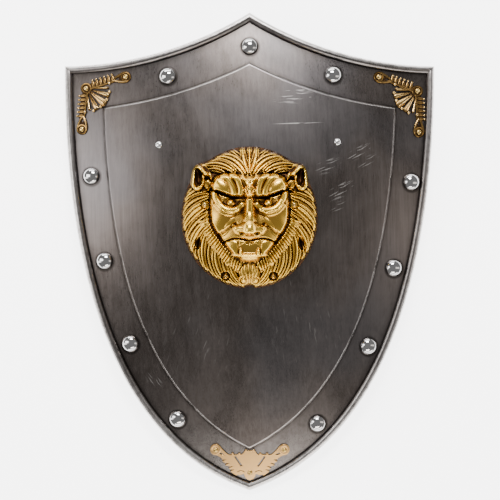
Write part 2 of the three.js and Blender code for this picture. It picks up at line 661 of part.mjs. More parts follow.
function browHeight(x, y) {
  const outer = swell(x, y, 37.5, 40, 14.5, 8.6, 38, 0.55);
  const inner = roll(x, y, INNER_BROW, 5.6, 0.6);
  let h = 9 * Math.max(outer, inner * 0.9) + 6 * swell(x, y, 0, 33, 9.5, 10, 0, 0.6);
  h += 4 * line(x, y, [[0, 40], [0, 52]], 3.2) + 3 * line(x, y, [[3, 42], [11, 54]], 2.4);
  return h - 9 * line(x, y, BROW_CUT, 3);
}

function eyeHeight(x, y) {
  let h = 7 * swell(x, y, ...EYE, 5.4, 5, 0, 0.5) - 7 * swell(x, y, EYE[0] - 1, EYE[1] + 1, 13.5, 7.5, 0, 0.5);
  for (const { path, half, lift } of EYE_FOLDS) h += lift * roll(x, y, path, half, 0.7);
  return h;
}

function muzzleHeight(x, y) {
  const bridge = toPath(x, y, [[0, 26], [0, -9]]);
  let h = 5 * swell(x, y, 0, -27, 36, 34);
  h += 9 * Math.exp(-((bridge.d / (4.8 + 2.4 * bridge.s)) ** 2.6));
  h += 6 * swell(x, y, 0, -13, 19, 11, 0, 0.75) + 2.5 * swell(x, y, 14, -14, 6.5, 7.5, 0, 0.6);
  h += 2 * swell(x, y, 0, -23, 6, 6) - 4 * swell(x, y, 10, -20.2, 4.6, 2.8, 15);
  h -= 3 * line(x, y, CHEEK_FOLD, 2.6) + 4 * line(x, y, LIP, 2.2);
  h += 3 * swell(x, y, 24, -39, 11, 9, 0, 0.6) - 2.5 * swell(x, y, 0, -39, 13.5, 8, 0, 0.4);
  h += 3.4 * swell(x, y, 11, -44, 2.8, 5.5) + 3.6 * line(x, y, [[0, -48.6], [24, -49.2]], 2.4);
  return h + 2 * swell(x, y, 0, -55, 14, 4.5);
}

function faceHeight(x, y, depth) {
  const ground = 15 + 9 * smooth(0, 10, depth) + 4 * (1 - (x / 54) ** 2);
  return ground + browHeight(x, y) + eyeHeight(x, y) + muzzleHeight(x, y);
}

function earHeight(x, y) {
  const rim = 9 * line(x, y, EAR_RIM, 3.6) + 6 * roll(x, y, EAR_CURL, 3.5);
  return 18 + rim - 8 * swell(x, y, 66, 51, 6, 12, -8, 0.6);
}

function maneHeight(x, y, outside, share) {
  const level = 9 + 15 * (1 - share ** 3);
  let h = level - 4.5;
  for (const { path, half, lift } of LOCKS) {
    const { d, s } = toPath(x, y, path);
    const w = half * (0.72 + 0.38 * Math.sin(Math.PI * Math.min(1, s * 1.15)));
    if (d < w) h = Math.max(h, level - 2 + lift + 5.5 * Math.sqrt(1 - (d / w) ** 2) * (0.8 + 0.2 * s));
  }
  const rope = toPath(x, y, FACE_EDGE.slice(ROPE_START));
  const across = Math.max(0, 1 - ((outside - 6.2) / 7.2) ** 2) ** 0.6;
  if (rope.s > 0.02) h = Math.max(h, level - 0.5 + 4.6 * across * smooth(0.02, 0.12, rope.s));
  h = Math.max(h, level - 1 + 6.5 * swell(x, y, 0, -73, 14.5, 17, 0, 0.55));
  h = Math.max(h, level + 1 + 5 * swell(x, y, 7.6, -80.5, 7.2, 7.2, 0, 0.5));
  h -= 6 * swell(x, y, 66, -33, 4, 9, 8, 0.6) + 7 * swell(x, y, 31, -75, 6.5, 6, 20, 0.6);
  const zone = swell(x, y, 64, 51, 14, 19, -15, 1);
  return zone > 0.03 ? Math.max(h - 8 * smooth(0.03, 0.3, zone), earHeight(x, y)) : h;
}

function reliefHeight(x, y) {
  const ax = Math.abs(x);
  const share = Math.min(1, Math.hypot(ax, y) / bossRadius(Math.atan2(y, ax)));
  const edge = toPath(ax, y, FACE_EDGE).d;
  const depth = insideFace(ax, y) ? edge : -edge;
  const face = faceHeight(ax, y, Math.max(depth, 0));
  const mane = maneHeight(ax, y, Math.max(-depth, 0), share);
  const round = Math.sqrt(1 - 0.75 * smooth(0.93, 1, share) ** 2);
  return lerp(mane, face, smooth(-1.2, 1.2, depth)) * round;
}

// The boss as rings of a hexagonal net, dropped to a skirt that is trimmed to the panel
function lionBody() {
  const points = [];
  const first = [0];
  const lift = SHEET / 2 + PANEL_RAISE;
  const place = (x, y) => {
    const wx = LION.x + x * LION_SCALE;
    const wy = LION.y + y * LION_SCALE;
    return [wx, wy, sheetZ(wx, wy) + lift + reliefHeight(x, y) * LION_SCALE];
  };
  points.push(place(0, 0));
  for (let k = 1; k <= LION_RINGS; k++) {
    first.push(points.length);
    for (let j = 0; j < 6 * k; j++) {
      const angle = (j / (6 * k)) * 2 * Math.PI + Math.PI / 2;
      const r = bossRadius(angle) * (k / LION_RINGS);
      points.push(place(r * Math.cos(angle), r * Math.sin(angle)));
    }
  }
  const index = (k, j) => (k === 0 ? 0 : first[k] + (((j % (6 * k)) + 6 * k) % (6 * k)));
  const faces = [];
  for (let k = 1; k <= LION_RINGS; k++) {
    for (let sector = 0; sector < 6; sector++) {
      for (let i = 0; i < k; i++) {
        const outer = sector * k + i;
        const inner = sector * (k - 1) + i;
        faces.push([index(k, outer), index(k, outer + 1), index(k - 1, inner)]);
        if (i < k - 1) faces.push([index(k, outer + 1), index(k - 1, inner + 1), index(k - 1, inner)]);
      }
    }
  }
  const rim = 6 * LION_RINGS;
  const base = points.length;
  const skirt = sheetZ(LION.x, LION.y) - 20;
  for (let j = 0; j < rim; j++) {
    const [x, y] = points[index(LION_RINGS, j)];
    points.push([x, y, skirt]);
  }
  points.push([LION.x, LION.y, skirt]);
  for (let j = 0; j < rim; j++) {
    const next = base + ((j + 1) % rim);
    faces.push([index(LION_RINGS, j), base + j, next], [index(LION_RINGS, j), next, index(LION_RINGS, j + 1)]);
    faces.push([base + rim, next, base + j]);
  }
  return closedBody(points, faces).subtract(BELOW_FRONT);
}

let lion = lionBody();
LION_SCREWS.forEach(({ x, y, seat: height }, i) => {
  const wx = LION.x + x * LION_SCALE;
  const wy = LION.y + y * LION_SCALE;
  const panelTop = sheetZ(wx, wy) + SHEET / 2 + PANEL_RAISE;
  const at = new THREE.Matrix4().makeTranslation(wx, wy, panelTop + height);
  const pocket = turned([[0, -GAP], [SCREW.pocket, -GAP], [SCREW.pocket, 30], [0, 30]], SCREW.sides);
  const hole = placed(drill(SCREW, 40), at);
  lion = lion.subtract(placed(pocket, at)).subtract(hole);
  holes.push(hole);
  keep(`lion_screw_${i + 1}`, placed(headedPin(SCREW, height + SHEET + 3 * GAP), at), BRASS);
});
keep("lion_head", lion, GOLD);

// The plate, drilled for every shank
const plate = holes.reduce((body, hole) => body.subtract(hole), plateBody());
keep("shield_plate", plate, STEEL);

const shield = new THREE.Group();
for (const { name, body, material } of parts) {
  const mesh = new THREE.Mesh(bufferOf(body), material);
  mesh.name = name;
  shield.add(mesh);
}

export default shield;
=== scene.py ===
"""Looks of a steel heater shield with a gilt lion's head, seen lying face up on a pale floor."""

import logging
import math
from collections.abc import Sequence
from dataclasses import dataclass, field
from enum import Enum

import bmesh
import bpy
import numpy as np
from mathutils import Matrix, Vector


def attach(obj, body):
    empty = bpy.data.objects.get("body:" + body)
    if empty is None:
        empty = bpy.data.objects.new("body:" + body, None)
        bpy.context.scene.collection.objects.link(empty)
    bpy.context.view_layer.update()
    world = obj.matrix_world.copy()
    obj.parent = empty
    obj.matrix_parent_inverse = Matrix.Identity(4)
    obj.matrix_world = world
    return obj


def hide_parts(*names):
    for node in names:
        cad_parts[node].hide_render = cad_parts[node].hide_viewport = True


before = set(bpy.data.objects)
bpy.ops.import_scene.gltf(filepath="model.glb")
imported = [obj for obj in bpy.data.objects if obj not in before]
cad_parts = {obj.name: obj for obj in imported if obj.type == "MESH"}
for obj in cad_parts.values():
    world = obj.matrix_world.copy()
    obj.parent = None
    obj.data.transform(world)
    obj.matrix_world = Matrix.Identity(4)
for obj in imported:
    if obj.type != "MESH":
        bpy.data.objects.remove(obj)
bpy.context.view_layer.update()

LOG = logging.getLogger("shield")
MM = 0.001
Point = tuple[float, float]
Colour = tuple[float, float, float]
Socket = bpy.types.NodeSocket
Group = bpy.types.NodeTree
VECTOR, FLOAT = "NodeSocketVector", "NodeSocketFloat"

# The handle's rivets: x, and how far each lies below the peak, in millimetres.
HANDLE_RIVETS: tuple[Point, ...] = ((-115.1, 168.9), (111.7, 165.2))
# The right half's screws of the lion's head: place on the relief, and height of the seat over the panel.
LION_SCREWS = ((57.2, 16.1, 17.0), (30.2, -75.0, 8.0))


class Slot(Enum):
    """Material slots of the record."""

    PLATE = "plate_steel"
    STRAP = "strap_steel"
    LION = "antique_gold"
    FITTING = "fitting_brass"
    PIN = "pin_brass"
    CHROME = "rivet_chrome"
    SMALL_RIVET = "small_rivet_steel"


def smooth(low: float, high: float, value: np.ndarray) -> np.ndarray:
    """Eases from 0 at low to 1 at high.

    Args:
        low: Value at which the result is 0.
        high: Value at which the result is 1.
        value: Values to ease.

    Returns:
        The eased values, between 0 and 1.
    """
    t = np.clip((np.asarray(value, float) - low) / (high - low), 0, 1)
    return t * t * (3 - 2 * t)


def hump(value: np.ndarray, middle: float, reach: float) -> np.ndarray:
    """A soft hump, 1 at its middle and falling off over its reach."""
    return np.exp(-(((value - middle) / reach) ** 2))


def crossed(x: np.ndarray, y: np.ndarray, path: Sequence[Point]) -> np.ndarray:
    """Tells which places have a path on their right an odd number of times.

    Args:
        x: Places along x.
        y: Places along y.
        path: The path's corners. Where it is closed, the places found lie inside it.

    Returns:
        True or False for each place.
    """
    found = np.zeros(np.shape(x), bool)
    for (ax, ay), (bx, by) in zip(path, path[1:]):
        if ay != by:
            found ^= ((ay > y) != (by > y)) & (x < ax + (y - ay) / (by - ay) * (bx - ax))
    return found


def path_distance(
    x: np.ndarray, y: np.ndarray, path: Sequence[Point],
) -> tuple[np.ndarray, np.ndarray, np.ndarray]:
    """Measures from places to the nearest point of a path.

    Args:
        x: Places along x.
        y: Places along y.
        path: The path's corners.

    Returns:
        The distance, the share of the path's length at the nearest point, and the signed sideways distance.
    """
    nearest, share, sideways = np.full(x.shape, 1e9), np.zeros(x.shape), np.zeros(x.shape)
    steps = [math.dist(a, b) for a, b in zip(path, path[1:])]
    total, done = sum(steps), 0.0
    for (ax, ay), (bx, by), length in zip(path, path[1:], steps):
        dx, dy = bx - ax, by - ay
        t = np.clip(((x - ax) * dx + (y - ay) * dy) / length**2, 0, 1)
        px, py = x - ax - t * dx, y - ay - t * dy
        d = np.hypot(px, py)
        closer = d < nearest
        nearest = np.where(closer, d, nearest)
        share = np.where(closer, (done + t * length) / total, share)
        sideways = np.where(closer, d * np.sign(px * dy - py * dx), sideways)
        done += length
    return nearest, share, sideways


def stitched(rings: int, around: int, first: int = 0) -> tuple[np.ndarray, list[list[int]]]:
    """Joins closed rings of points to a skin.

    Args:
        rings: Count of the rings.
        around: Points in each ring.
        first: Index of the first ring's first point.

    Returns:
        The point indices by ring, and the skin's faces of four corners.
    """
    ids = first + np.arange(rings * around).reshape(rings, around)
    nxt = np.roll(ids, -1, 1)
    return ids, np.stack([ids[:-1], nxt[:-1], nxt[1:], ids[1:]], -1).reshape(-1, 4).tolist()


def caps(ids: np.ndarray, start: int, end: int) -> list[list[int]]:
    """Closes a skin's first ring to one pole and its last ring to another.

    Args:
        ids: Point indices of the skin, by ring.
        start: Index of the pole at the first ring.
        end: Index of the pole at the last ring.

    Returns:
        The triangles of both caps.
    """
    nxt = np.roll(ids, -1, 1)
    under = [[start, int(b), int(a)] for a, b in zip(ids[0], nxt[0])]
    return under + [[end, int(a), int(b)] for a, b in zip(ids[-1], nxt[-1])]


@dataclass(frozen=True)
class HeaterCurve:
    """A heater outline: a concave arc from the peak to each corner, then a side down to the tip."""

    half_width: float
    peak_y: float
    corner_y: float
    tip_y: float
    arc_radius: float
    upper: float
    upper_lean: float
    lower: float
    lower_rise: float

    def arc(self, share: np.ndarray) -> np.ndarray:
        """Points of the right upper arc, from the peak at 0 to the corner at 1.

        Args:
            share: Shares of the arc.

        Returns:
            One point for each share.
        """
        peak, corner = np.array([0, self.peak_y]), np.array([self.half_width, self.corner_y])
        chord = np.linalg.norm(corner - peak)
        way = (corner - peak) / chord
        sag = math.sqrt(self.arc_radius**2 - chord**2 / 4)
        centre = (peak + corner) / 2 + np.array([-way[1], way[0]]) * sag
        start = math.atan2(*(peak - centre)[::-1])
        end = math.atan2(*(corner - centre)[::-1])
        angle = start + (end - start) * np.asarray(share, float)
        return centre + self.arc_radius * np.stack([np.cos(angle), np.sin(angle)], -1)

    def side(self, share: np.ndarray) -> np.ndarray:
        """Points of the right side, from the corner at 0 to the tip at 1.

        Args:
            share: Shares of the side's curve.

        Returns:
            One point for each share.
        """
        run = self.corner_y - self.tip_y
        lean, rise = math.radians(self.upper_lean), math.radians(self.lower_rise)
        p = np.array([self.half_width, self.corner_y])
        q = p - self.upper * run * np.array([math.sin(lean), math.cos(lean)])
        s = np.array([0, self.tip_y])
        r = s + self.lower * run * np.array([math.cos(rise), math.sin(rise)])
        t = np.asarray(share, float)[..., None]
        u = 1 - t
        return u**3 * p + 3 * u * u * t * q + 3 * u * t * t * r + t**3 * s

    def loop(self, arc_steps: int, side_steps: int) -> np.ndarray:
        """The whole outline, anticlockwise seen from the front, from the tip.

        Args:
            arc_steps: Steps along each upper arc.
            side_steps: Steps along each side.

        Returns:
            The outline's corners.
        """
        right = np.concatenate([
            self.side(1 - np.arange(side_steps) / side_steps),
            self.arc(1 - np.arange(arc_steps) / arc_steps),
        ])
        left = right[1:][::-1] * np.array([-1, 1])
        return np.concatenate([right, self.arc(np.array([0.0])), left])


def inward(points: np.ndarray) -> np.ndarray:
    """Finds how a loop's corners move when the loop is drawn in by a millimetre.

    Args:
        points: Corners of the loop, anticlockwise.

    Returns:
        The move of each corner, longer where it is mitred.
    """
    a = points - np.roll(points, 1, 0)
    b = np.roll(points, -1, 0) - points
    a /= np.linalg.norm(a, axis=1)[:, None]
    b /= np.linalg.norm(b, axis=1)[:, None]
    normal = np.stack([-a[:, 1] - b[:, 1], a[:, 0] + b[:, 0]], -1)
    return normal * 2 / (normal**2).sum(1)[:, None]


@dataclass(frozen=True)
class ShieldForm:
    """Sizes of the shield in millimetres, as the solids have them."""

    height: float = 610
    half_width: float = 236.4
    corner_drop: float = 67.3
    sheet: float = 1.3
    bead_radius: float = 5
    bead_lift: float = 2.5
    panel_raise: float = 2.5
    step_run: float = 4
    across_radius: float = 600
    crown_drop: float = 256
    lion_drop: float = 261.4
    gap: float = 0.3
    outline_steps: tuple[int, int] = (5, 18)

    @property
    def peak_y(self) -> float:
        """Where the peak of the top edge lies along y."""
        return self.height / 2

    @property
    def corner_y(self) -> float:
        """Where the upper corners lie along y."""
        return self.peak_y - self.corner_drop

    @property
    def tip_y(self) -> float:
        """Where the tip lies along y."""
        return -self.height / 2

    @property
    def lion_y(self) -> float:
        """Where the middle of the lion's head lies along y."""
        return self.peak_y - self.lion_drop

    @property
    def crown_y(self) -> float:
        """Where the curved sheet is highest along y."""
        return self.peak_y - self.crown_drop

    @property
    def outer(self) -> HeaterCurve:
        """The plate's outline."""
        return HeaterCurve(
            self.half_width, self.peak_y, self.corner_y, self.tip_y,
            arc_radius=448.5, upper=0.442, upper_lean=0.2, lower=0.358, lower_rise=19.4,
        )

    @property
    def panel(self) -> HeaterCurve:
        """The outline of the raised panel's foot."""
        return HeaterCurve(
            self.half_width - 49.3, self.peak_y - 63.2, self.corner_y - 52.3, self.tip_y + 51.9,
            arc_radius=519, upper=0.383, upper_lean=1.4, lower=0.374, lower_rise=26.4,
        )

    @property
    def stands(self) -> tuple[np.ndarray, np.ndarray]:
        """Where the bead's middle line turns at a corner and at the tip, which all touch the floor."""
        loop = self.outer.loop(*self.outline_steps)
        bead = loop + inward(loop) * self.bead_radius
        return bead[self.outline_steps[1]], bead[0]

    @property
    def along_curve(self) -> float:
        """Half the curvature along the height, which puts both corners and the tip on the floor.

        Returns:
            The half curvature, per millimetre.
        """
        corner, tip = self.stands
        fall = corner[0] ** 2 / (2 * self.across_radius)
        return fall / ((tip[1] - self.crown_y) ** 2 - (corner[1] - self.crown_y) ** 2)

    def sheet_z(self, x: np.ndarray, y: np.ndarray) -> np.ndarray:
        """Height of the sheet's middle surface under the border.

        Args:
            x: Places along x.
            y: Places along y.

        Returns:
            Heights over the floor in millimetres.
        """
        k = self.along_curve
        top = k * (self.stands[1][1] - self.crown_y) ** 2 + self.bead_radius - self.bead_lift
        return top - np.asarray(x) ** 2 / (2 * self.across_radius) - k * (np.asarray(y) - self.crown_y) ** 2

    def panel_z(self, x: np.ndarray, y: np.ndarray) -> np.ndarray:
        """Height of the raised panel's front."""
        return self.sheet_z(x, y) + self.sheet / 2 + self.panel_raise

    def slope(self, x: np.ndarray, y: np.ndarray) -> tuple[np.ndarray, np.ndarray]:
        """How far the front leans along x and y for each millimetre of height over it."""
        return x / self.across_radius, 2 * self.along_curve * (y - self.crown_y)

    def normal(self, x: float, y: float) -> np.ndarray:
        """Unit normal of the sheet's front."""
        n = np.array([*self.slope(x, y), 1.0])
        return n / np.linalg.norm(n)

    def panel_lift(self, x: np.ndarray, y: np.ndarray) -> np.ndarray:
        """How far the raised panel stands over the border.

        Args:
            x: Places along x.
            y: Places along y.

        Returns:
            The lift in millimetres, 0 outside the panel.
        """
        loop = self.panel.loop(12, 40)
        path = np.concatenate([loop, loop[:1]])
        near = path_distance(x, y, path)[0]
        return np.where(crossed(x, y, path), self.panel_raise * smooth(0, self.step_run, near), 0.0)

    def border_point(self, kind: str, along: float, across: float) -> np.ndarray:
        """Finds a point of the right half's border.

        Args:
            kind: The outline's part, arc or side.
            along: Share of that part's length.
            across: Share of the way from the bead to the panel.

        Returns:
            The point in plan.
        """
        outer = getattr(self.outer, kind)(np.array([along]))[0]
        inner = getattr(self.panel, kind)(np.array([along]))[0]
        start = 2 * self.bead_radius / np.linalg.norm(outer - inner)
        return outer + (inner - outer) * (start + (1 - start) * across)


FORM = ShieldForm()


class NodeKit:
    """Short ways to add nodes to one node tree."""

    def __init__(self, tree: Group) -> None:
        """Keeps the tree."""
        self.tree = tree

    def fill(self, made: bpy.types.Node, inputs: dict) -> None:
        """Sets a node's inputs.

        Args:
            made: The node.
            inputs: Values, or sockets to link, by input name or number.
        """
        for name, value in inputs.items():
            if isinstance(value, Socket):
                self.tree.links.new(value, made.inputs[name])
            else:
                made.inputs[name].default_value = value

    def node(self, kind: str, inputs: dict | None = None, **settings: object) -> bpy.types.Node:
        """Adds a node.

        Args:
            kind: Blender's node type.
            inputs: Values or sockets by input name or number.
            **settings: Attributes of the node, set before its inputs.

        Returns:
            The new node.
        """
        made = self.tree.nodes.new(kind)
        for name, value in settings.items():
            setattr(made, name, value)
        self.fill(made, inputs or {})
        return made

    def math(
        self, operation: str, a: object, b: object = 0.0, c: object = 0.0, clamp: bool = False,
    ) -> Socket:
        """Adds a Math node."""
        inputs = {0: a, 1: b, 2: c}
        return self.node("ShaderNodeMath", inputs, operation=operation, use_clamp=clamp).outputs[0]

    def vector(self, operation: str, a: object, b: object = (0, 0, 0)) -> Socket:
        """Adds a Vector Math node."""
        return self.node("ShaderNodeVectorMath", {0: a, 1: b}, operation=operation).outputs[0]

    def length(self, vector: object) -> Socket:
        """Adds a node that measures a vector."""
        return self.node("ShaderNodeVectorMath", {0: vector}, operation="LENGTH").outputs["Value"]

    def mix(self, factor: object, a: object, b: object) -> Socket:
        """Adds a node that mixes two colours."""
        return self.node("ShaderNodeMix", {"Factor": factor, 6: a, 7: b}, data_type="RGBA").outputs[2]

    def ramp(self, value: object, stops: Sequence[tuple[float, Colour]]) -> Socket:
        """Adds a colour ramp.

        Args:
            value: What picks the colour.
            stops: Places and colours, in rising order.

        Returns:
            The colour.
        """
        made = self.node("ShaderNodeValToRGB", {"Fac": value})
        elements = made.color_ramp.elements
        for place, _ in stops[2:]:
            elements.new(place)
        for element, (place, colour) in zip(elements, stops):
            element.position = place
            element.color = (*colour, 1)
        return made.outputs[0]

    def span(
        self, value: object, low: float, high: float, to_low: float = 0.0, to_high: float = 1.0,
    ) -> Socket:
        """Adds a node that eases from one value at low to another at high."""
        inputs = {"Value": value, "From Min": low, "From Max": high, "To Min": to_low, "To Max": to_high}
        return self.node("ShaderNodeMapRange", inputs, interpolation_type="SMOOTHSTEP").outputs[0]

    def noise(
        self, vector: object, scale: float, detail: float = 3, rough: float = 0.5, bend: float = 0,
    ) -> Socket:
        """Adds a Noise Texture node."""
        inputs = {"Vector": vector, "Scale": scale, "Detail": detail, "Roughness": rough, "Distortion": bend}
        return self.node("ShaderNodeTexNoise", inputs).outputs[0]

    def stretched(self, vector: object, scale: tuple, turn: float = 0.0) -> Socket:
        """Turns a place about z, in radians, and scales it."""
        turned = self.node("ShaderNodeMapping", {0: vector, 2: (0, 0, turn)}).outputs[0]
        return self.vector("MULTIPLY", turned, scale)

    def group(self, group: Group, inputs: dict) -> bpy.types.Node:
        """Places a shader group with its inputs."""
        return self.node("ShaderNodeGroup", inputs, node_tree=group)


def new_group(
    name: str, inputs: dict[str, tuple[str, object]], outputs: dict[str, str],
) -> tuple[Group, NodeKit, bpy.types.Node, bpy.types.Node]:
    """Makes an empty shader group with its sockets.

    Args:
        name: Name of the group.
        inputs: Socket type and default by input name.
        outputs: Socket type by output name.

    Returns:
        The group, a kit for it, its input node and its output node.
    """
    group = bpy.data.node_groups.new(name, "ShaderNodeTree")
    for label, (kind, default) in inputs.items():
        socket = group.interface.new_socket(label, in_out="INPUT", socket_type=kind)
        if default is not None:
            socket.default_value = default
    for label, kind in outputs.items():
        group.interface.new_socket(label, in_out="OUTPUT", socket_type=kind)
    kit = NodeKit(group)
    return group, kit, kit.node("NodeGroupInput"), kit.node("NodeGroupOutput")


def brushing_group() -> bpy.types.NodeTree:
    """Fine brushed lines and broader streaks along the shield's height.

    Returns:
        The group, which gives the lines and the streaks as values.
    """
    outputs = {"Lines": FLOAT, "Streaks": FLOAT}
    group, kit, given, out = new_group("Brushing", {"Place": (VECTOR, None)}, outputs)
    fine = kit.noise(kit.stretched(given.outputs[0], (1500, 16, 1500), 0.03), 1, 4, 0.65)
    coarse = kit.noise(kit.stretched(given.outputs[0], (260, 5, 260), -0.04), 1, 5, 0.6)
    kit.tree.links.new(fine, out.inputs["Lines"])
    kit.tree.links.new(coarse, out.inputs["Streaks"])
    return group


def scratch_group() -> bpy.types.NodeTree:
    """A patch of thin parallel scratches, strongest at its middle.

    Returns:
        The group, which gives their mask.
    """
    sockets = {
        "Place": (VECTOR, None), "Middle": (VECTOR, (0, 0, 0)), "Turn": (VECTOR, (0, 0, 0)),
        "Size": (VECTOR, (0.03, 0.03, 1)), "Density": (FLOAT, 300.0), "Amount": (FLOAT, 0.5),
        "Cut": (FLOAT, 0.58),
    }
    group, kit, given, out = new_group("Scratches", sockets, {"Mask": FLOAT})
    local = kit.vector("SUBTRACT", given.outputs["Place"], given.outputs["Middle"])
    turning = {0: local, 4: given.outputs["Turn"]}
    turned = kit.node("ShaderNodeVectorRotate", turning, rotation_type="EULER_XYZ")
    scaled = kit.vector("DIVIDE", turned.outputs[0], given.outputs["Size"])
    region = kit.span(kit.length(kit.vector("MULTIPLY", scaled, (1, 1, 0))), 1.0, 0.3)
    lines = kit.vector("MULTIPLY", turned.outputs[0], (1, 0.12, 0))
    scaling = {0: lines, 3: given.outputs["Density"]}
    dense = kit.node("ShaderNodeVectorMath", scaling, operation="SCALE").outputs[0]
    over = kit.math("SUBTRACT", kit.noise(dense, 1, 2, 0.55, 0.3), given.outputs["Cut"])
    mask = kit.math("MULTIPLY", kit.span(over, 0.0, 0.07), region)
    kit.tree.links.new(kit.math("MULTIPLY", mask, given.outputs["Amount"]), out.inputs[0])
    return group


def contact_shadow_group() -> bpy.types.NodeTree:
    """A soft painted shadow round one rivet's foot or under a fitting's fan.

    Returns:
        The group, which gives the ring's mask.
    """
    sockets = {"Place": (VECTOR, None), "Middle": (VECTOR, (0, 0, 0)), "Radius": (FLOAT, 0.01)}
    group, kit, given, out = new_group("Halo", sockets, {"Mask": FLOAT})
    local = kit.vector("SUBTRACT", given.outputs["Place"], given.outputs["Middle"])
    reach = kit.length(kit.vector("MULTIPLY", local, (1, 1, 0)))
    beyond = kit.math("SUBTRACT", reach, given.outputs["Radius"])
    kit.tree.links.new(kit.span(beyond, 0.0032, 0.0002), out.inputs[0])
    return group


def patina_group() -> bpy.types.NodeTree:
    """Tone of the patina from a vertex attribute, broken up by noise: 0 in recesses and 1 on crests.

    Returns:
        The group, which gives the tone.
    """
    sockets = {"Place": (VECTOR, None), "Cavity": (FLOAT, 0.0), "Break": (FLOAT, 0.25)}
    group, kit, given, out = new_group("Patina", sockets, {"Tone": FLOAT})
    grain = kit.noise(given.outputs["Place"], 160, 2, 0.5)
    cloud = kit.noise(given.outputs["Place"], 45, 3, 0.5)
    sway = kit.math("SUBTRACT", kit.math("MULTIPLY_ADD", grain, 0.5, kit.math("MULTIPLY", cloud, 0.5)), 0.5)
    tone = kit.math("MULTIPLY_ADD", sway, given.outputs["Break"], given.outputs["Cavity"])
    kit.tree.links.new(kit.math("MULTIPLY_ADD", tone, 0.5, 0.5, clamp=True), out.inputs[0])
    return group


def principled(kit: NodeKit, inputs: dict) -> None:
    """Ends a material's tree in one Principled shader."""
    shader = kit.node("ShaderNodeBsdfPrincipled", inputs)
    output = kit.node("ShaderNodeOutputMaterial")
    kit.tree.links.new(shader.outputs[0], output.inputs[0])


def blank_material(name: str) -> tuple[bpy.types.Material, NodeKit, Socket]:
    """Makes a material with an empty tree.

    Args:
        name: The material's name.

    Returns:
        The material, a kit for its tree, and the object coordinates.
    """
    material = bpy.data.materials.new(name)
    material.use_nodes = True
    material.node_tree.nodes.clear()
    kit = NodeKit(material.node_tree)
    return material, kit, kit.node("ShaderNodeTexCoord").outputs["Object"]


@dataclass(frozen=True)
class ScratchPatch:
    """One patch of scratches: middle, angle of its strokes, half width and half length in metres."""

    middle: Point
    degrees: float
    size: Point
    density: float = 300
    amount: float = 0.6
    cut: float = 0.58


